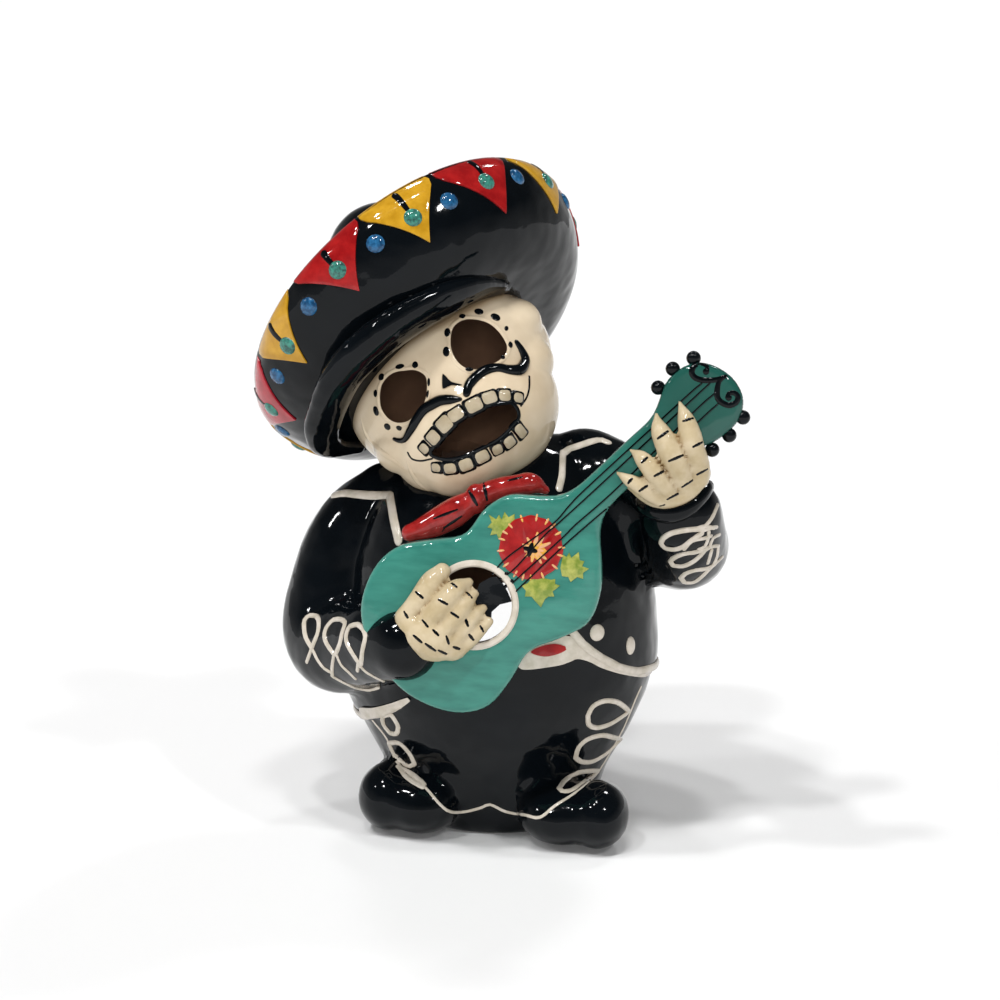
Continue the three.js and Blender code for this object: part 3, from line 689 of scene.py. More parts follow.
# Each tooth has its middle, width and height in the photograph.
teeth = {
    "rows": [
        [(424.5, 448.4, 11, 13), (433.6, 437.4, 14, 16), (444.6, 424.2, 16, 17.6), (455.9, 414.7, 16, 14.7),
         (474, 405.2, 16.9, 16), (489.4, 397.8, 15.4, 14.7), (504.5, 395.6, 13.2, 13.9),
         (518, 397.8, 11.7, 12.5)],
        [(436.5, 467.5, 12, 11.4), (450.2, 468.2, 13.4, 13.2), (465.9, 464.6, 14.4, 14.8),
         (482, 456.5, 14.7, 14.7), (497.1, 449.2, 11.7, 13.9), (509.2, 441.8, 12.5, 15.4),
         (520.2, 430.8, 11, 19)],
    ],
    "proud": 0.85, "sunk": 2.4, "rounding": 0.4, "wider": 1.12,
    "outline": 0.55, "outlineProud": 0.45,
}


def addTooth(spot, along, wide, high, proud):
    at, normal = spot
    across = (along - normal * along.dot(normal)).normalized()
    up = normal.cross(across)
    thick = proud + teeth["sunk"]
    clearSelection()
    bpy.ops.mesh.primitive_cube_add(size=1)
    tooth = bpy.context.object
    tooth.scale = (wide, high, thick)
    settle(tooth)
    applyModifier(tooth, "BEVEL", width=min(wide, high) * teeth["rounding"], segments=3, limit_method="NONE")
    place = Matrix((across, up, normal)).transposed().to_4x4()
    middle = at + normal * (proud - thick / 2)
    return settle(tooth, Matrix.Translation(middle) @ place)


def addTeeth():  # pale teeth, each on a larger black one that shows as its outline
    white, black = [], []
    grow = 2 * teeth["outline"]
    for row in teeth["rows"]:
        spots = [seen(skullTree, x, y) for x, y, wide, high in row]
        for i, (x, y, wide, high) in enumerate(row):
            along = wayAt([at for at, normal in spots], i)
            w, h = wide * pixelWidth * teeth["wider"], high * pixelWidth
            white.append(addTooth(spots[i], along, w, h, teeth["proud"]))
            black.append(addTooth(spots[i], along, w + grow, h + grow, teeth["outlineProud"]))
    return paint(toothGlaze, white) + paint(blackGlaze, black)


def addFacePaint():
    dot = pixelWidth * facePaint["dotScale"]
    mesh = (facePaint["dotSegments"], facePaint["dotRings"])
    ink = [addDot(seen(skullTree, x, y), w * dot, h * dot, facePaint["dotRise"], -slant, *mesh)
           for x, y, w, h, slant in facePaint["dots"]]
    ink += addTrails(skullTree, facePaint["smiles"], facePaint["smile"])
    hairScale = pixelWidth * facePaint["moustacheScale"]
    for half in facePaint["moustache"]:
        hair = dict(facePaint["hair"], width=[w * hairScale for w in half["widths"]])
        ink += addTrails(skullTree, [half["line"]], hair)
    rim = outward(facePaint["mouth"], facePaint["mouthRimOut"])
    ink += addTrails(skullTree, [rim], facePaint["mouthRim"], closed=True)
    paint(blackGlaze, ink)
    ink.append(raisedPatch(skull, skullTree, facePaint["nose"], facePaint["noseLift"], blackGlaze))
    rims = [outward(facePaint[eye], facePaint["eyeRimOut"]) for eye in ("leftEye", "rightEye")]
    creases = addTrails(skullTree, rims, facePaint["eyeRim"], closed=True)
    creases += addTrails(skullTree, facePaint["jaw"], facePaint["jawCrease"])
    return ink + paint(boneGlaze, creases)


faceRelief = addTeeth() + addFacePaint()
faceCuts = [addSightPrism(skullTree, facePaint[hole], prismForm["behindHole"])
            for hole in ("leftEye", "rightEye", "mouth")]
paint(insideClay, faceCuts)
print("face painted")

# the sombrero
hat = {
    "at": (-17, 4, 165.6), "lean": 28.5, "tip": 47,
    "brimShift": Vector((1.74, -0.47, 0)),
    "crownShift": Vector((2.46, 0.47, 0)),
    "brim": [(38, 0.4), (46, 1), (54, 4), (60.2, 9.3), (64.6, 17), (67.1, 26), (66.1, 31.4)],
    "lip": [(65.6, 32.8), (64.4, 33.5), (63.1, 33.2)],
    "inside": [(62.3, 32), (61.9, 26), (58, 16), (50, 9), (38, 6.6)],
    "columns": 112,
    "step": 1.6, "lipStep": 0.8, "insideStep": 3,
    "crown": [(30, 3), (28.2, 26), (25.9, 44.5), (20.4, 58.3), (11.4, 68), (0, 71.5)],
    "crownColumns": 64,
    "roll": [(-46, -8, 0, 3), (-49, -24.6, 0, 5.2), (-43, -38.4, 0, 7.5), (-33.7, -47, 0, 8.4),
             (-19.4, -55.1, 0, 9.4), (-6.6, -55.1, 0, 9.7), (8.9, -47.8, 0, 9), (22, -37, 0, 7.6),
             (29.6, -26, 0, 4.6), (34, -15, 0, 1.8)],
    "rollFlat": 0.6,  # a share of its radius
    "rollDown": -0.3,
    "rollVoxel": 1.3,
    "rollSoftening": 3,
    "band": [(351, 418, 4), (358, 398, 4.5), (370, 376, 4.5), (384, 361, 4.5), (400, 348, 4.5),
             (420, 334, 4.5), (440, 321, 4.5), (460, 310, 4.5), (480, 301, 4.2), (497, 296, 3.6),
             (512, 293, 3)],  # places in the photograph, with radii in millimetres
    "floor": 3.4,  # above this the skull is black, because there it shows inside the hat
}
hatPlace = placeOf(hat["at"], hat["lean"], hat["tip"]) @ Matrix.Translation(hat["brimShift"])
crownPlace = hatPlace @ Matrix.Translation(hat["crownShift"])
# Places on the brim are in degrees from the front and in millimetres down from the rim.
panels = {
    "front": [{"left": (-73.9, 5.4), "right": (-41.7, 3.4), "tip": (-56.6, 21), "bead": (-57.6, 10.8)},
              {"left": (-39.1, 2.9), "right": (-15.2, 0), "tip": (-28.8, 19.8), "bead": (-27.6, 11)},
              {"left": (-11.6, 0), "right": (14.9, 1.9), "tip": (1.7, 19.6), "bead": (1.4, 9.3)},
              {"left": (15.9, 2), "right": (40.1, 3), "tip": (28.5, 21.7), "bead": (28.3, 11.5)},
              {"left": (42.1, 3.9), "right": (68.7, 1.5), "tip": (58.6, 23), "bead": (56, 10.4)},
              {"left": (72.8, 2.2), "right": (101, 1.5), "tip": (87, 22), "bead": (86.8, 9.3)}],
    "glazes": [pinkGlaze, yellowGlaze, redGlaze, yellowGlaze, redGlaze, yellowGlaze],
    "behind": 6,  # how many more there are at the back, all of one form
    "back": {"half": 13.2, "base": 2.5, "tip": 21, "bead": 10.4, "gap": 11},
    "across": 10,
    "downs": 12,
    "crowding": 0.8,  # below 1, the mesh is finer at the rim
    "lift": 0.6,
    "sunk": 1.5,
    "overRim": -3.2,  # how far the base reaches over the rim
    "overShare": 0.18,  # the share of the mesh that does
    "concave": 0.06,
    "edge": 0.35,
    "edgeAngle": 40,
    "stroke": {"from": 1, "steps": 6, "widths": [2.6, 2.2, 1.8, 1.2], "rise": 0.16},
}
beads = {
    "radius": 3.3,
    "flat": 0.45,  # half its thickness, as a share of its radius
    "proud": 1.15,
    "segments": 16,
    "rings": 8,
    "gaps": [(-71.2, 12.3), (-40.7, 11.4), (-12.9, 9.8), (14.8, 11.2), (41, 12.3), (70.1, 9.8)],
}


def brimRun():  # distances down from the rim, with the brim's skin there and its outward normal
    skin = alongCurve([(r, h, 0) for r, h in hat["brim"] + hat["lip"] + hat["inside"][:2]], hat["lipStep"])
    rim = min(range(len(skin)), key=lambda i: (skin[i] - Vector((*hat["brim"][-1], 0))).length)
    run = []
    for i, p in enumerate(skin):
        way = wayAt(skin, i)
        run.append((p, Vector((way.y, -way.x, 0)).normalized()))
    downs = [0.0] * len(skin)
    for i in range(rim - 1, -1, -1):
        downs[i] = downs[i + 1] + (skin[i + 1] - skin[i]).length
    for i in range(rim + 1, len(skin)):
        downs[i] = downs[i - 1] - (skin[i] - skin[i - 1]).length
    return sorted(zip(downs, run), key=lambda pair: pair[0])


brimSteps = brimRun()


def onBrim(around, down, lift=0):  # a point on the brim in the hat's frame, and its normal
    low = max([pair for pair in brimSteps if pair[0] <= down] or brimSteps[:1], key=lambda pair: pair[0])
    high = min([pair for pair in brimSteps if pair[0] >= down] or brimSteps[-1:], key=lambda pair: pair[0])
    t = (down - low[0]) / (high[0] - low[0]) if high[0] > low[0] else 0
    n = low[1][1].lerp(high[1][1], t).normalized()
    p = low[1][0].lerp(high[1][0], t) + n * lift
    swing = Matrix.Rotation(math.radians(around) - math.pi / 2, 3, "Z")
    return swing @ Vector((p.x, 0, p.y)), (swing @ Vector((n.x, 0, n.y))).normalized()


def addPanel(form):  # one raised triangle, its base wrapped over the rim, its point down the brim
    clearSelection()
    bpy.ops.mesh.primitive_grid_add(x_subdivisions=panels["across"], y_subdivisions=panels["downs"], size=2)
    panel = bpy.context.object
    (leftAt, leftDown), (rightAt, rightDown), (tipAt, tipDown) = form["left"], form["right"], form["tip"]
    over, overRim = panels["overShare"], panels["overRim"]
    for vertex in panel.data.vertices:
        u, v = (vertex.co.x + 1) / 2, (1 - vertex.co.y) / 2
        v = v ** panels["crowding"]
        fade = max(0.0, (v - over) / (1 - over))
        pinch = 1 - fade - panels["concave"] * math.sin(math.pi * fade)
        base = leftAt + (rightAt - leftAt) * u
        baseDown = leftDown + (rightDown - leftDown) * u
        if v < over:
            down = overRim + (baseDown - overRim) * v / over
        else:
            down = baseDown + (tipDown - baseDown) * fade
        lift = (panels["lift"] - panels["sunk"]) / 2
        vertex.co = onBrim(tipAt + (base - tipAt) * max(pinch, 0), down, lift)[0]
    inEditMode(panel, closeUp)
    applyModifier(panel, "SOLIDIFY", thickness=panels["lift"] + panels["sunk"], offset=0)
    corner = math.radians(panels["edgeAngle"])
    applyModifier(panel, "BEVEL", width=panels["edge"], segments=2, angle_limit=corner)
    return settle(panel, hatPlace)


def brimRail(places, lift):
    rail = []
    for around, down in places:
        at, normal = onBrim(around, down, lift)
        rail.append((hatPlace @ at, (hatPlace.to_3x3() @ normal).normalized()))
    return rail


def addHeadBand():  # a roll of clay laid on the skull, where the face comes out from under the hat
    line = [(x, y) for x, y, radius in hat["band"]]
    stations = []
    for i, (x, y, radius) in enumerate(hat["band"]):
        along = wayAt(line, i)
        away = Vector((along.y, -along.x)).normalized() * radius / pixelWidth
        at = eyePoint + sightLine(x + away.x, y + away.y) * reachTo(skullTree, x, y)
        stations.append((*at, radius))
    return addLimb(stations)


def addHat():
    outside = flatCurve(hat["brim"], hat["step"])
    lip = flatCurve([hat["brim"][-1], *hat["lip"], hat["inside"][0]], hat["lipStep"])[1:-1]
    inside = flatCurve(hat["inside"], hat["insideStep"])
    profile = [(0, hat["brim"][0][1]), *outside, *lip, *inside, (0, hat["inside"][-1][1])]
    brim = addTurned(profile, hat["columns"], hatPlace)
    side = flatCurve(hat["crown"], hat["insideStep"])[:-1]
    crown = addTurned([(0, hat["crown"][0][1]), *side, hat["crown"][-1]], hat["crownColumns"], crownPlace)
    under = (hatPlace @ Matrix.Translation(Vector((0, 0, hat["rollDown"])) - hat["brimShift"])
             @ Matrix.Diagonal((1, 1, hat["rollFlat"], 1)))
    rolls = [addLimb(hat["roll"], under), addHeadBand()]
    return paint(blackGlaze, [brim, crown, modelled(rolls, "roll", hat["rollVoxel"], hat["rollSoftening"])])


def addBead(spot, lift):  # a flattened bead of clay, pressed on
    at, normal = brimRail([spot], lift)[0]
    turned = normal.to_track_quat("Z", "Y").to_matrix().to_4x4()
    flat = beads["radius"] * beads["flat"]
    place = Matrix.Translation(at + normal * (beads["proud"] - flat)) @ turned
    radii = (beads["radius"], beads["radius"], flat)
    return addBall((0, 0, 0), radii, place, beads["segments"], beads["rings"])


def addHatTrim():
    forms, glazes, gaps = list(panels["front"]), list(panels["glazes"]), list(beads["gaps"])
    back, stroke = panels["back"], panels["stroke"]
    first, last = forms[0]["bead"][0], forms[-1]["bead"][0]
    step = (360 - last + first) / (panels["behind"] + 1)
    for i in range(panels["behind"]):
        at = last + step * (i + 1)
        forms.append({"left": (at - back["half"], back["base"]), "right": (at + back["half"], back["base"]),
                      "tip": (at, back["tip"]), "bead": (at, back["bead"])})
        glazes.append(yellowGlaze if i % 2 else redGlaze)
        gaps.append((at - step / 2, back["gap"]))
    gaps.append((last + step * (panels["behind"] + 0.5), back["gap"]))
    trim = []
    for form, itsGlaze in zip(forms, glazes):
        trim += paint(itsGlaze, [addPanel(form)])
        around, down = form["bead"]
        start, steps = stroke["from"], stroke["steps"]
        line = [(around, start + (down - start) * k / steps) for k in range(steps + 1)]
        rail = brimRail(line, panels["lift"])
        trim += paint(blackGlaze, [addTrail(rail, stroke["widths"], stroke["rise"])])
        trim += paint(seaGlaze, [addBead(form["bead"], panels["lift"])])
    return trim + paint(blueGlaze, [addBead(spot, 0) for spot in gaps])


hatForms = addHat()
hatTrim = addHatTrim()
print("sombrero turned")

# the guitar
guitar = {
    "at": (-3.1, -60, 92.6), "upright": 82, "slope": 45.4,
    "outline": [(-27, 27.5), (-15.5, 32.6), (-5, 32), (5, 25.6), (14, 19.6), (25, 21), (34, 19), (41, 10.5),
                (46, 3), (47, -8), (42, -17.5), (34.3, -26.3), (24, -31), (13, -28.2), (2.5, -24.3),
                (-9, -27.2), (-21, -28.2), (-31, -21.5), (-37.5, -8), (-38, 6), (-34, 19)],
    "outlineStep": 3,
    "inset": 1.2,  # how much narrower the body is than the face
    "halfLength": 35,
    "depth": 26,
    "edge": 3,
    "overlap": 4,
    "neck": [(40.5, 12.6), (46.5, 7), (53, 5), (62, 4.7), (76, 4.7), (87, 4.7), (94, 7.6), (99, 10),
             (105, 10), (110.5, 8), (114.5, 2.5), (116, -5), (113.8, -12), (108, -16), (101, -16.4),
             (94, -14.8), (88, -10), (80, -7.2), (70, -7.2), (60, -7.2), (53, -8.3), (47.5, -12),
             (42, -18.5)],
    "neckFrom": 7, "neckTo": 11,  # the points of the outline in whose place the face has its neck and head
    "frontStep": 2.4,
    "frontDepth": 9,
    "frontEdge": 2.2,
    "hole": {"radius": 13, "depth": 16, "down": 4, "columns": 64},
    "ring": [(13, 0.2), (13.5, 0.7), (14.8, 0.7), (15.4, 0.1), (15.4, -2), (13, -2)],
    "pegs": [(95.7, 10.4), (103.6, 11.6), (111.1, 9.4), (109.4, -16.4), (102, -17.6), (94.5, -17.2)],
    "peg": {"radius": 2.5, "height": -3.2, "segments": 16, "rings": 10},
    # Lighter where the guitar's surface turns away from its face: partly thin glaze there, partly a painted
    # sheen of light.
    "paleEdgesAndSheen": {"colour": "#6fae9f", "side": 0.25, "face": 0.97, "most": 0.45},
    # Darker teal from the body up to the headstock: painted shade, for the most part.
    "shadedNeck": {"colour": "#1d4f46", "from": 40, "to": 98},
}
guitarPlace = (Matrix.Translation(guitar["at"]) @ Matrix.Rotation(math.radians(guitar["upright"]), 4, "X")
               @ Matrix.Rotation(math.radians(guitar["slope"]), 4, "Z"))


def addGuitar():
    body = guitar["outline"]
    face = body[:guitar["neckFrom"]] + guitar["neck"] + body[guitar["neckTo"]:]
    outline = alongCurve(face, guitar["frontStep"], closed=True)
    front = addPlate(outline, 0, guitar["frontDepth"], guitar["frontEdge"], guitarPlace)
    shrink = 1 - guitar["inset"] / guitar["halfLength"]
    outline = [p * shrink for p in alongCurve(body, guitar["outlineStep"], closed=True)]
    top = guitar["overlap"] - guitar["frontDepth"]
    back = addPlate(outline, top, guitar["depth"] + top, guitar["edge"], guitarPlace)
    peg = guitar["peg"]
    pegs = [addBall((x, y, peg["height"]), (peg["radius"],) * 3, guitarPlace, peg["segments"], peg["rings"])
            for x, y in guitar["pegs"]]
    return paint(tealGlaze, [front, back]), paint(blackGlaze, pegs)


def shadeGuitar():  # thin pale glaze over its edges, with a painted sheen of light there too, and painted shade as a darker teal up its neck
    turned = guitarPlace.to_3x3()
    pale, deep = guitar["paleEdgesAndSheen"], guitar["shadedNeck"]
    glazeOver(tealGlaze, onEdges(tealGlaze, turned @ Vector((0, 0, 1)), pale), pale["colour"])
    ends = [(guitarPlace @ Vector((deep[end], 0, 0)) + setDown["shift"]) * setDown["scale"]
            for end in ("from", "to")]
    glazeOver(tealGlaze, alongAxis(tealGlaze, turned @ Vector((1, 0, 0)), *ends), deep["colour"])


shadeGuitar()
guitarForms, pegs = addGuitar()

# The paint on the guitar, at places in the photograph. Lifts and widths are in millimetres.
guitarPaint = {
    "leaves": [
        [(498.7, 539.2), (496.6, 534.1), (490.2, 535.4), (492.2, 529), (487.3, 527.3), (491.6, 522.3),
         (488.5, 514.3), (496.1, 519.2), (499, 514.6), (501.7, 519.2), (504.6, 511.6), (508.5, 517.2),
         (514.7, 513.8), (514.7, 520.6), (516.4, 524.3), (509.6, 529), (503.7, 535.8)],
        [(562.9, 554.4), (566.3, 556.9), (569.3, 552.3), (571.3, 557.7), (578.9, 551.8), (579.8, 560.3),
         (584.5, 561.1), (582.3, 566.2), (589.1, 568.7), (583.2, 573), (583.2, 578.9), (577.2, 577.2),
         (570.5, 582.2), (568.3, 577.2), (562, 576.3), (560.3, 567.9)],
        [(534.1, 578), (530.8, 579.7), (527.4, 583.1), (521.5, 585.6), (525.7, 590.7), (524.8, 596.6),
         (531.6, 596.6), (534.1, 600), (540.9, 607.6), (545.1, 599.1), (548.5, 596.6), (554.4, 596.6),
         (552.7, 591.5), (560.3, 585.6), (555.3, 583.9), (555.3, 578.9), (551, 579.7), (544.3, 578)],
    ],
    "leafLift": 0.3,
    "leafEdge": 0.25,
    "decalDepth": 1.2,
    "flower": {"at": (531, 547.6), "radius": 32, "points": 60, "uneven": 0.02, "lobes": 11, "phase": 0,
               "lift": 0.42, "edge": 0.25},
    "heart": {"at": (537, 550.5), "radius": 8.5, "points": 36, "uneven": 0.14, "lobes": 5, "phase": 1,
              "lift": 0.55, "edge": 0.1},
    "core": {"at": (530.5, 549.5), "radius": 5.6, "points": 32, "uneven": 0.34, "lobes": 4, "phase": 0.5,
             "lift": 0.66, "edge": 0.1},
    "petals": {"ticks": 17, "from": 0.86, "to": 1.05, "sway": 0.3, "lobes": 5},
    "tick": {"step": 2, "width": [0.5, 0.9, 0.6], "rise": 0.5},
    "raysFrom": (534, 549.5),
    "rays": [(-78, 17), (-52, 15), (-22, 17), (8, 12), (38, 15), (62, 15), (100, 12), (140, 11), (168, 9),
             (205, 12), (240, 13)],  # degrees and length
    "rayStart": 0.4,
    "ray": {"step": 2, "width": [1.5, 1.2, 0.7], "rise": 0.3},
    "strip": [(490.8, 577), (479.6, 583.2), (477, 591.3), (472.5, 608.7), (476.1, 609.1), (478.8, 616),
              (484.6, 607.3), (483.2, 618.9), (491.3, 619.4), (491.7, 611.8), (500.2, 604.2),
              (511.5, 601.5), (507.3, 592), (502, 583), (496.6, 576.5)],
    "stripLift": 0.95,
    "strings": [
        [(492.7, 573.8), (507.9, 556.9), (551.9, 524.8), (569.6, 505.4), (589.9, 485.1), (684, 398.6),
         (701.6, 383.5)],
        [(507.1, 574.6), (517.2, 566.2), (544.3, 535.8), (557.8, 523.9), (598.4, 486.8), (688.9, 402.6),
         (709.6, 383.5)],
        [(510.5, 584.8), (562.9, 537.5), (574.7, 525.6), (618.6, 486.8), (693.6, 412.2), (716, 392.3)],
        [(512.2, 594.9), (563.7, 545.9), (608.5, 507), (619.5, 496.9), (700, 420.2), (717.6, 404.2)],
    ],
    "string": {"step": 5, "width": 0.62, "rise": 1.3},
    "bars": [
        [(496, 583), (506.5, 573.2)], [(502, 589.5), (512, 580.6)],
    ],
    "bar": {"step": 3, "width": 1.15, "rise": 1},
    "scrolls": [
        [(707.2, 371.5), (707.2, 366.7), (703.2, 364.3), (698.4, 364), (693.6, 366.7), (691.7, 372.3),
         (694.4, 377.1), (701.6, 380), (711.2, 380.3), (719.1, 379), (725.5, 376.3)],
        [(725.5, 376.3), (719.9, 380.3), (717.6, 386.7), (717.2, 396.2), (720.7, 401.8), (728.7, 405.3),
         (735.9, 402.6), (738, 397), (734.3, 393), (728.7, 393.8), (727.4, 397.8)],
    ],
    "scroll": {"step": 2, "width": [1.3, 2, 2, 1.9, 1.5], "rise": 0.35},
    "scrollEnds": [(706, 371.5), (728.6, 397.5)],
    "scrollEnd": (2.2, 2.2, 0.45),  # width, height and rise
}


def onGuitarFace(x, y):  # where a line of sight meets the guitar's face, in the guitar's frame
    back = guitarPlace.inverted()
    start = back @ eyePoint
    way = back.to_3x3() @ sightLine(x, y)
    return start - way * (start.z / way.z)


def addDecal(places, lift, itsGlaze, edge):
    outline = [onGuitarFace(x, y) for x, y in places]
    return paint(itsGlaze, [addPlate(outline, lift, lift + guitarPaint["decalDepth"], edge, guitarPlace, 2)])


def addRound(name, itsGlaze):  # a round of paint with an uneven rim
    form = guitarPaint[name]
    places = []
    for k in range(form["points"]):
        turn = 2 * math.pi * k / form["points"]
        reach = form["radius"] * (1 + form["uneven"] * math.sin(form["lobes"] * turn + form["phase"]))
        places.append((form["at"][0] + reach * math.cos(turn), form["at"][1] + reach * math.sin(turn)))
    return addDecal(places, form["lift"], itsGlaze, form["edge"])


def spoke(at, turn, start, end):  # a short line in the photograph that points away from a place
    way = Vector((math.cos(turn), math.sin(turn)))
    return [Vector(at) + way * reach for reach in (start, end)]


def addGuitarPaint():
    form = guitarPaint
    leaves = sum((addDecal(leaf, form["leafLift"], limeGlaze, form["leafEdge"])
                  for leaf in form["leaves"]), [])
    flower = addRound("flower", redGlaze)
    tree = sightTree(guitarForms + flower)
    heart = addRound("heart", goldGlaze)
    core = addRound("core", blackGlaze)
    petals, radius = form["petals"], form["flower"]["radius"]
    ticks = []
    for k in range(petals["ticks"]):
        turn = 2 * math.pi * (k + petals["sway"] * math.sin(petals["lobes"] * k)) / petals["ticks"]
        ticks.append(spoke(form["flower"]["at"], turn, radius * petals["from"], radius * petals["to"]))
    rays = [spoke(form["raysFrom"], math.radians(degrees), reach * form["rayStart"], reach)
            for degrees, reach in form["rays"]]
    touches = addTrails(tree, ticks, form["tick"]) + addTrails(tree, rays, form["ray"])
    lines = addTrails(tree, form["strings"], form["string"]) + addTrails(tree, form["bars"], form["bar"])
    lines += addTrails(tree, form["scrolls"], form["scroll"])
    lines += [addDot(seen(tree, x, y), *form["scrollEnd"]) for x, y in form["scrollEnds"]]
    strip = addDecal(form["strip"], form["stripLift"], blackGlaze, 0)
    return leaves + flower + heart + core + paint(peachGlaze, touches) + paint(blackGlaze, lines) + strip


def addSoundHole():
    form = guitar["hole"]
    ring = addTurned(guitar["ring"], form["columns"], guitarPlace, closed=True)
    clearSelection()
    bpy.ops.mesh.primitive_cylinder_add(vertices=form["columns"], radius=form["radius"], depth=form["depth"],
                                        location=(0, 0, -form["down"]))
    hole = settle(bpy.context.object, guitarPlace)
    return paint(creamGlaze, [ring]), paint(insideClay, [hole])


guitarTrim = addGuitarPaint() + pegs
holeTrim, holeCuts = addSoundHole()
print("guitar built")

# The hands, in the guitar's frame, with the black marks between their bones in the photograph.
hands = {
    "fret": {
        "palm": [(67.3, -7.4, -3, 2.6), (68.5, -12.4, -3.4, 3.4), (70.7, -17, -4, 3.8), (75.1, -20, -4, 4),
                 (81.4, -21, -4, 4), (86.4, -20.2, -3.4, 3.6)],
        "fingers": [
            [(97.7, 2.2, 1.4, 0.6), (95.7, -2.8, 3.6, 2.7), (93, -8.1, 4.4, 3.8), (90.3, -12.9, 3.6, 3.8),
             (87.5, -18.2, 0, 3.8), (84.5, -21, -3, 3.8)],
            [(89.4, 4.5, 1.6, 0.6), (87, 0.5, 4, 2.9), (85, -5.5, 5, 4.1), (83.2, -11.2, 4, 4.1),
             (80.9, -17.4, 0, 3.7), (79.8, -20.5, -3, 3.6)],
            [(74.9, 1.4, 1.4, 0.6), (75.7, -2.2, 3.6, 2.5), (75.6, -7.2, 4.2, 3.3), (74.9, -13.2, 2, 3.4),
             (74.3, -18.4, -2, 3.2)],
            [(66.4, -0.7, 1.2, 0.6), (67.5, -5, 2.8, 2.1), (68.7, -9, 2.6, 2.7), (69.6, -13.8, 0, 2.9),
             (70.5, -17.2, -2, 2.8)],
        ],
        "marks": [(683.3, 421, 692.8, 418.2), (657.8, 438.5, 667.8, 431.3), (641.8, 462.4, 647.1, 457.6),
                  (628.3, 483.1, 631.8, 478.8), (693.3, 446.8, 702.1, 442.2), (668.9, 461.1, 683, 455.2),
                  (654.6, 476, 663.7, 471.2), (639.4, 491.1, 647.4, 485.5), (697.1, 474.7, 707.2, 469.3),
                  (682.2, 487.1, 692.4, 480.4), (667.3, 499.4, 678.2, 493.5), (660.2, 505.9, 664.1, 505)],
    },
    "strum": {
        "palm": [(-19.5, 9, 1.5, 6.8), (-18.5, 4.5, 2.5, 8.2), (-16.5, 0, 2.2, 8.2), (-14.2, -4, 1, 6.4)],
        "fingers": [
            [(-19.4, 13.2, 4, 3.4), (-14.7, 13.4, 4.4, 3.7), (-9.1, 14.3, 4.4, 4), (-3.8, 15.4, 3.6, 4),
             (0.4, 15.6, 2, 3)],
            [(-17.6, 6.4, 5, 3.6), (-11.7, 7, 6.4, 3.8), (-5.2, 7.7, 6.4, 3.9), (0.4, 8, 4.8, 3.4),
             (4.4, 6.8, 2, 1.7)],
            [(-15.8, 0, 5.4, 3), (-10.9, 1, 6.2, 3.2), (-4.8, 1.7, 5.8, 3.2), (0.3, 2.6, 4, 2.7),
             (3, 2.7, 2, 1.8)],
            [(-14.2, -4.4, 4, 2.7), (-10.2, -3.8, 4.6, 2.8), (-5.6, -3.1, 4.4, 2.7), (-0.9, -2.5, 3, 2.3),
             (1.8, -2.9, 1.4, 1.6)],
            [(-13, -7.6, 2, 2.6), (-9.5, -7.6, 2.8, 2.7), (-4.9, -7.4, 2.6, 2.6), (-0.2, -7.4, 1, 1.9)],
        ],
        "marks": [(449.3, 581.4, 456.4, 586.8), (415.8, 591.9, 422.6, 597.8), (438.7, 599.7, 447.1, 604.2),
                  (451.3, 612.7, 458.1, 617.2), (466.5, 592.4, 471.6, 597.5), (422.6, 620.3, 427.7, 626.7),
                  (433.2, 630.1, 438.2, 635.1), (465.7, 619.4, 467.9, 625.7), (480.4, 626.2, 483.1, 631.3),
                  (469.1, 634.6, 473.3, 639.7), (413.6, 635.5, 421.4, 642.2), (425.6, 643.9, 435.3, 650.7),
                  (438.7, 650.4, 446.3, 654.1), (453.5, 647, 459.4, 649), (404.3, 611.8, 407.7, 617.7),
                  (446.3, 636.3, 448.8, 643.6)],
    },
    "mark": {"step": 3, "width": [0.8, 1.15, 0.9], "rise": 0.3},
    "voxel": 1,
    "softening": 2,
}


def addHand(name):
    form = hands[name]
    parts = [addLimb(limb, guitarPlace) for limb in [form["palm"], *form["fingers"]]]
    hand = modelled(parts, name + "Hand", hands["voxel"], hands["softening"])
    lines = [[mark[:2], mark[2:]] for mark in form["marks"]]
    marks = addTrails(sightTree([hand]), lines, hands["mark"])
    return paint(handGlaze, [hand]) + paint(blackGlaze, marks)


handPieces = addHand("fret") + addHand("strum")
print("hands modelled")

# bow, buttons, braid and bands on the suit
bow = {
    "wings": [
        [(-5, -44, 125.6, 4), (-9.4, -45, 122.6, 5), (-15, -45, 119, 5.2), (-21.4, -45, 115.6, 4.3),
         (-26.8, -45.5, 113.5, 3.1)],
        [(-3, -43.5, 127, 4), (3, -43, 129.4, 4), (9.4, -42, 130.8, 3.7), (14.6, -41, 131.2, 3.8),
         (19, -40, 129, 1.6)],
    ],
    "knot": ((-4.4, -45, 126.2), (4, 3.8, 5.4)),
    "voxel": 0.8,
    "softening": 3,
    "strokes": [((469.1, 491), (477, 505), 1.5), ((483.5, 483), (487, 500), 1.5),
                ((434, 518.5), (457.2, 509.6), 1.1), ((444, 528), (461.5, 516.3), 1.2),
                ((442, 531.5), (448, 523.9), 0.6), ((508, 480.5), (522, 477), 1.1)],  # ends and width
    "stroke": {"step": 3, "rise": 0.2},
    "taper": 0.6,
}


def addBow():
    parts = [addLimb(wing) for wing in bow["wings"]] + [addBall(*bow["knot"])]
    knotted = modelled(parts, "bow", bow["voxel"], bow["softening"])
    tree = sightTree([knotted])
    strokes = []
    for start, end, width in bow["strokes"]:
        thin = width * bow["taper"]
        strokes += addTrails(tree, [[start, end]], dict(bow["stroke"], width=[thin, width, thin]))
    return paint(bowGlaze, [knotted]) + paint(blackGlaze, strokes)


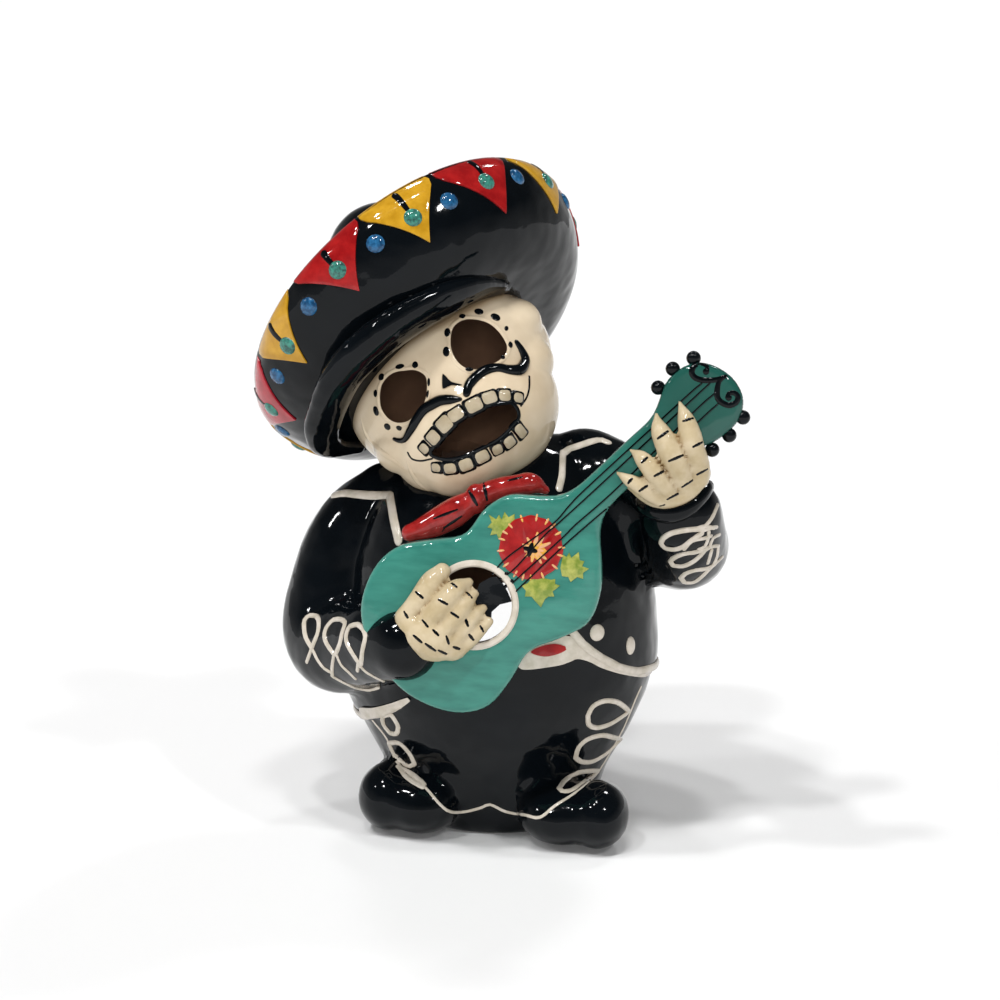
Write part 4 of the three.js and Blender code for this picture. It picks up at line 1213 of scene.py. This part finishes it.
# The suit's trim, at places in the photograph, but for the hem's, which is in degrees from the front.
suitTrim = {
    "hem": {"from": 27, "to": 330, "step": 4, "above": 1.2, "lift": 0.1,
            "width": 2.9, "rise": 0.5, "sides": 10},
    "yokes": [(3.3, [(334, 495), (345, 493.2), (355, 494), (371.9, 495.4), (389.5, 495)]),
              (3.6, [(390, 496), (391.6, 507), (394, 521), (397, 534), (398.5, 541)]),
              (2.9, [(608, 442.5), (598, 440), (578, 446), (568.3, 449.5), (563.5, 453)]),
              (2.6, [(563, 452), (562.6, 464), (562, 476), (559, 489)])],
    "yoke": {"step": 4, "rise": 0.5, "sides": 10},
    "trouserSeam": [(372.6, 720.5), (386.9, 739), (398.2, 763.6), (424.9, 787.2), (440.3, 804.6),
                    (450.5, 811.8), (464.9, 811.8), (481.3, 807.7), (490.1, 804.6), (505.9, 811.8),
                    (524.4, 814.9), (539.7, 817.3), (555.1, 805.6), (575.6, 792.3), (594, 777), (602, 766),
                    (611, 751), (624, 727), (636, 698), (641, 687)],
    "seam": {"step": 4, "width": 1.15, "rise": 0.5},
    "buttons": [(597.2, 632.7, 6, 6), (630.4, 645.6, 4.6, 6.6)],
    "buttonRise": 1.1,
    "shirt": [(521.3, 669.2), (555.1, 666.2), (569.5, 662.1), (577.7, 659), (590, 662.1), (602.3, 668.2),
              (622.8, 674.4), (645.4, 677), (653.6, 669.2), (647.4, 668.2), (637.2, 671.3), (622.8, 666.2),
              (602.3, 657.9), (587.9, 650.8), (583.8, 645.6), (574.6, 637.4), (560, 636), (540, 640),
              (521, 655)],
    "leftHem": [(359.1, 708), (371.8, 708), (388.4, 704.1), (407.6, 697.8), (410.1, 700.9), (401.2, 708),
                (392.2, 713.1), (376.9, 717.5), (368, 718.8), (361.6, 715)],
    "patchLift": 0.7,
    "sash": [(530.8, 652.4), (540.9, 646.5), (554.4, 643.9), (565.4, 646.5), (566.3, 649.8), (557.8, 654.1),
             (544.3, 656.6)],
    "sashLift": 1.1,
    "cuffLine": [(618, 482), (625, 491), (639, 502.5), (653, 510.5), (668, 514), (683, 510.5), (695, 501.5),
                 (705, 490), (711, 478)],
    "cuff": {"step": 3, "width": [3.4, 5.6, 6.4, 6.6, 6.6, 6.4, 5.8, 3.8], "rise": 1.1, "sides": 12},
}
# Loops of braid and their loose ends, at places in the photograph.
braid = {
    "loops": [
        [(629, 711.3), (624.9, 707.2), (616.7, 702.1), (604.4, 701), (593.1, 706.2), (587.9, 715.4),
         (589, 724.6), (596.2, 727.7), (608.5, 724.6), (620.8, 717.4), (629, 711.3)],
        [(620.8, 739), (614.6, 737.9), (602.3, 735.3), (587.9, 739), (578.7, 747.2), (575.6, 757.4),
         (580.8, 761.5), (592.1, 761.5), (606.4, 753.3), (616.7, 743.1)],
        [(598.2, 770.8), (592.1, 770.8), (577.7, 772.8), (565.4, 780), (559.2, 788.2), (562.3, 791.3),
         (571.5, 790.3), (583.8, 782.1), (596.2, 772.8)],
        [(391, 714.4), (382.8, 716.4), (383.8, 724.6), (390, 732.8), (396.2, 733.8), (398.2, 726.7),
         (394.1, 718.5)],
        [(389, 743.1), (399.2, 743.1), (409.5, 753.3), (414.6, 763.6), (409.5, 766.1), (401.3, 761.5),
         (394.1, 753.3)],
        [(398.2, 766.7), (411.5, 773.8), (423.8, 784.1), (422.8, 787.2), (413.6, 782.1), (405.4, 775.9)],
        [(311.9, 648), (306.1, 637.8), (304.2, 627.6), (304.9, 619.9), (310, 615.5), (316.4, 616.1),
         (318.9, 621.2), (318.3, 631.4), (315.1, 640.4), (311.9, 648)],
        [(334.2, 654.4), (327.2, 644.2), (324.6, 636.5), (326.6, 627.6), (333.6, 619.9), (341.2, 619.3),
         (345.1, 623.1), (342.5, 632.7), (339.9, 644.2), (336.1, 653.1)],
        [(358.4, 662), (353.3, 654.4), (347.6, 644.2), (346.3, 635.3), (350.2, 626.3), (357.8, 624.4),
         (362.9, 628.9), (365.5, 636.5), (362.9, 649.3), (361.6, 659.5), (360.4, 665.9)],
        [(701.6, 533.4), (692, 539.7), (684.1, 546.1), (674.5, 549.3), (664.9, 547.7), (661, 542.9),
         (663.3, 538.1), (671.3, 533.4), (685.7, 530.2), (701.6, 529.4)],
        [(709.6, 546.9), (704.8, 550.1), (700, 555.7), (692, 562.1), (682.5, 566), (672.9, 565.2),
         (670.5, 561.3), (676.1, 556.5), (685.7, 553.3), (696.8, 551.7), (708, 547.7)],
        [(716, 562.1), (708, 570), (701.6, 576.4), (693.6, 582), (684.1, 582), (680.9, 578), (685.7, 573.2),
         (695.2, 570), (706.4, 568.4), (714.4, 564.4)],
    ],
    "loop": {"step": 3.5, "width": 2, "rise": 0.7},
    "tails": [
        [(311.9, 648), (306.8, 662)], [(311.9, 648), (318.3, 660.8), (324.6, 668.4), (331, 672.2)],
        [(334.2, 654.4), (332.3, 665.9), (332.3, 676.1)],
        [(336.1, 653.1), (341.2, 664.6), (348.9, 672.2), (355.3, 678.6)],
        [(358.4, 662), (356.5, 678.6), (355.3, 686.3)],
        [(360.4, 665.9), (366.7, 672.2), (379.5, 679.3), (389.7, 683.7), (399.9, 685.6)],
        [(332.3, 676.1), (343.8, 682.4), (355.3, 687.6), (369.3, 690.1), (378.2, 687.6)],
        [(701.6, 529.4), (711.2, 519), (717.6, 504.7), (721.5, 493.5)],
        [(701.6, 531), (713, 527.5), (724, 527)], [(708, 547.7), (715, 546), (722.3, 546.1)],
        [(714.4, 564.4), (722.3, 557)], [(684.1, 549.3), (692, 541), (704.8, 538.1), (711, 536)],
        [(709.6, 547), (713, 538), (723, 533)], [(693, 530), (704, 526.5), (714, 528), (723, 530)],
        [(708.8, 531.7), (708, 538), (705, 546), (698.7, 549)], [(711.5, 550), (710, 556), (707.9, 563)],
        [(718, 548), (717, 556), (714, 563)],
    ],
    "tail": {"step": 4, "width": 1.5, "rise": 0.7},
    "leap": 3.2,  # millimetres
}


def untilEdge(rail):  # as far as the sleeve's own edge, beyond which the sight leaps to what lies behind
    kept = rail[:1]
    for spot in rail[1:]:
        if (spot[0] - kept[-1][0]).length > braid["leap"]:
            break
        kept.append(spot)
    return kept


def addBraid():
    trails = []
    for loop in braid["loops"]:
        middle = len(loop) // 2
        trails += addTrails(suitTree, [loop[:middle + 1], loop[middle:] + [loop[0]]], braid["loop"])
    form = braid["tail"]
    tails = [untilEdge(traced(suitTree, tail, form["step"])) for tail in braid["tails"]]
    trails += [addTrail(tail, form["width"], form["rise"]) for tail in tails if len(tail) > 2]
    return paint(creamGlaze, trails)


def addHem():  # open in front, where the guitar covers it
    form = suitTrim["hem"]
    rail = []
    for around in range(form["from"], form["to"], form["step"]):
        height = readAt(suitForm["hem"], (around + 180) % 360 - 180) + form["above"]
        rail.append(onJacket(around, height, form["lift"]))
    return addTrail(rail, form["width"], form["rise"], sides=form["sides"])


def addSuitTrim():
    trim = [addHem()]
    for width, line in suitTrim["yokes"]:
        trim += addTrails(suitTree, [line], dict(suitTrim["yoke"], width=width))
    trim += addTrails(suitTree, [suitTrim["trouserSeam"]], suitTrim["seam"])
    trim += [addDot(seen(suitTree, x, y), w, h, suitTrim["buttonRise"], segments=20, rings=12)
             for x, y, w, h in suitTrim["buttons"]]
    paint(creamGlaze, trim)
    trim += [raisedPatch(suit, suitTree, suitTrim[patch], suitTrim["patchLift"], creamGlaze)
             for patch in ("shirt", "leftHem")]
    trim.append(raisedPatch(suit, suitTree, suitTrim["sash"], suitTrim["sashLift"], redGlaze))
    return trim + paint(blackGlaze, addTrails(suitTree, [suitTrim["cuffLine"]], suitTrim["cuff"]))


suitRelief = addBow() + addBraid() + addSuitTrim()
print("suit trimmed")

# the hollow, the door and the foot
hollowForm = {
    "wall": 4.5,
    "chamber": [(0, 6), (31, 6), (33.5, 10), (36.5, 20), (50, 48), (53.8, 58), (52.7, 82), (49.5, 98),
                (44, 111), (34.5, 121), (22.5, 131), (0, 139)],
    "chamberColumns": 48,
    "throat": [(0, -1, 120, 15), (-7, -3, 138, 15.5)],
    "crown": [(0, 4), (25, 4), (23.7, 23), (21.4, 41), (16, 54), (0, 66.5)],
    "crownColumns": 40,
    "skullBalls": 2,  # how many of the skull's balls are hollow
    "sleeveStations": 4,  # and how far down the sleeves are
    "guitarMiddle": 2, "guitarShare": 0.84, "guitarStep": 5,
    "voxel": 3.1,
    "softening": 3,
}
door = {
    "halfWidth": 25, "sill": 8, "spring": 50, "archSteps": 24, "inside": 18, "depth": 40,
    "lip": {"out": 1.3, "step": 3, "width": 2.4, "rise": 0.5, "sides": 10},
    "seenFrom": 120,  # behind the back
}
groundSize = 300


def addHollow():
    form = hollowForm
    wall, middle, share = form["wall"], form["guitarMiddle"], form["guitarShare"]
    parts = [addTurned(form["chamber"], form["chamberColumns"], torsoPlace),
             addTurned(form["crown"], form["crownColumns"], crownPlace)]
    parts += [addBall(at, [r - wall for r in radii], headPlace)
              for at, radii in skullForm["balls"][:form["skullBalls"]]]
    parts.append(addLimb(form["throat"]))
    for arm in suitForm["sleeves"]:
        parts.append(addLimb([(x, y, z, r - wall) for x, y, z, r in arm[:form["sleeveStations"]]]))
    inset = [(middle + (x - middle) * share, y * share)
             for x, y in flatCurve(guitar["outline"], form["guitarStep"], closed=True)]
    parts.append(addPlate(inset, -wall, guitar["depth"], 0, guitarPlace))
    return paint(insideClay, [modelled(parts, "hollow", form["voxel"], form["softening"])])


def archPlaces(grow=0):
    wide, sill = door["halfWidth"] + grow, door["sill"] - grow
    spring, steps = door["spring"], door["archSteps"]
    arch = [(-wide, sill), (wide, sill), (wide, spring)]
    arch += [(wide * math.cos(math.pi * k / steps), spring + wide * math.sin(math.pi * k / steps))
             for k in range(1, steps)]
    return arch + [(-wide, spring)]


def addDoor():
    upright = Matrix.Rotation(math.radians(90), 4, "X")
    opening = addPlate(archPlaces(), -door["inside"], door["depth"], 0, upright)
    form = door["lip"]
    rail = []
    for x, z in flatCurve(archPlaces(form["out"]), form["step"], closed=True):
        at, normal, _, _ = suitTree.ray_cast(Vector((x, door["seenFrom"], z)), Vector((0, -1, 0)))
        rail.append((at, normal))
    lip = addTrail(rail, form["width"], form["rise"], closed=True, sides=form["sides"])
    return paint(insideClay, [opening]), paint(blackGlaze, [lip])


def addGround():  # what is cut away below the shelf, so that the foot is flat and bare
    clearSelection()
    bpy.ops.mesh.primitive_cube_add(size=groundSize, location=(0, 0, -groundSize / 2))
    return paint(bareClay, [settle(bpy.context.object)])


doorCuts, doorTrim = addDoor()
hollow = addHollow()
ground = addGround()
print("hollow drained")

figurine = combine(suit, [skull, *hatForms, *guitarForms], "UNION")
print("cast joined", len(figurine.data.polygons))
figurine = combine(figurine, [*hollow, *faceCuts, *holeCuts], "DIFFERENCE")
print("cast hollowed", len(figurine.data.polygons))
relief = faceRelief + hatTrim + guitarTrim + holeTrim + handPieces + suitRelief + doorTrim
figurine = combine(figurine, relief, "UNION")
figurine = combine(figurine, ground + doorCuts, "DIFFERENCE")
print("relief joined", len(figurine.data.polygons))

fettling = {"sliver": 0.000005, "smoothAngle": 38}  # metres and degrees


def blackenHatFloor():  # the skull's top where it stands through the hat's inside
    slots = [slot.name for slot in figurine.data.materials]
    bone, black = slots.index(boneGlaze.name), slots.index(blackGlaze.name)
    back = hatPlace.inverted()
    for face in figurine.data.polygons:
        if face.material_index == bone and (back @ face.center).z > hat["floor"]:
            face.material_index = black


blackenHatFloor()
figurine.name = "glazedFigurine"
settle(figurine, Matrix.Scale(setDown["scale"], 4) @ Matrix.Translation(setDown["shift"]))
inEditMode(figurine, lambda: bpy.ops.mesh.dissolve_degenerate(threshold=fettling["sliver"]))
pick(figurine)
bpy.ops.object.shade_smooth_by_angle(angle=math.radians(fettling["smoothAngle"]))
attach(figurine, "root")
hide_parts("figurine")
print("triangles", sum(len(face.vertices) - 2 for face in figurine.data.polygons))

# stage and light
floorForm = {"size": 160, "grey": 0.86, "roughness": 0.9, "shine": 0.1}
lamps = [
    {"azimuth": -35, "elevation": 55, "strength": 0.75, "angle": 4},
    {"azimuth": -62, "elevation": 62, "strength": 0.6, "angle": 4},
    {"azimuth": -15, "elevation": 68, "strength": 0.6, "angle": 4},
    {"azimuth": 50, "elevation": 48, "strength": 0.5, "angle": 4},
    {"azimuth": -75, "elevation": 35, "strength": 0.35, "angle": 4},
    {"azimuth": 10, "elevation": 75, "strength": 0.5, "angle": 5},
    {"azimuth": 150, "elevation": 50, "strength": 0.45, "angle": 6},
    {"azimuth": -150, "elevation": 55, "strength": 0.3, "angle": 6},
    {"azimuth": 5, "elevation": 14, "strength": 1.3, "angle": 24, "matte": True},  # not seen in the glaze
]
studio = {"atHorizon": 0.5, "overhead": 0.06, "fadeTo": 0.45}


def addStage():  # matt pale paper
    clearSelection()
    bpy.ops.mesh.primitive_plane_add(size=floorForm["size"])
    floor = bpy.context.object
    floor.name = "paleFloor"
    material = bpy.data.materials.new("palePaperFloor")
    material.use_nodes = True
    shader = material.node_tree.nodes["Principled BSDF"]
    shader.inputs["Base Color"].default_value = (*[floorForm["grey"]] * 3, 1)
    shader.inputs["Roughness"].default_value = floorForm["roughness"]
    shader.inputs["Specular IOR Level"].default_value = floorForm["shine"]
    paint(material, [floor])


def addLamp(form):
    sun = bpy.data.lights.new("lamp", "SUN")
    sun.energy = form["strength"]
    sun.angle = math.radians(form["angle"])
    lamp = addObject("lamp", sun)
    lamp.rotation_euler = toward(form["azimuth"], form["elevation"]).to_track_quat("Z", "Y").to_euler()
    lamp.visible_glossy = "matte" not in form


def addWorld():  # soft light that is brightest at the horizon
    world = bpy.data.worlds.new("studio")
    bpy.context.scene.world = world
    world.use_nodes = True
    tree = world.node_tree
    where = addNode(tree, "ShaderNodeTexCoord", {})
    split = addNode(tree, "ShaderNodeSeparateXYZ", {}, [("Vector", where.outputs["Generated"])])
    fade = addNode(tree, "ShaderNodeMapRange",
                   {"From Min": 0.0, "From Max": studio["fadeTo"],
                    "To Min": studio["atHorizon"], "To Max": studio["overhead"]},
                   [("Value", split.outputs["Z"])])
    tree.links.new(fade.outputs[0], tree.nodes["Background"].inputs["Strength"])
    tree.nodes["Background"].inputs["Color"].default_value = (1, 1, 1, 1)


addStage()
for lamp in lamps:
    addLamp(lamp)
addWorld()
bpy.context.scene.view_settings.view_transform = "Standard"
print("lit")
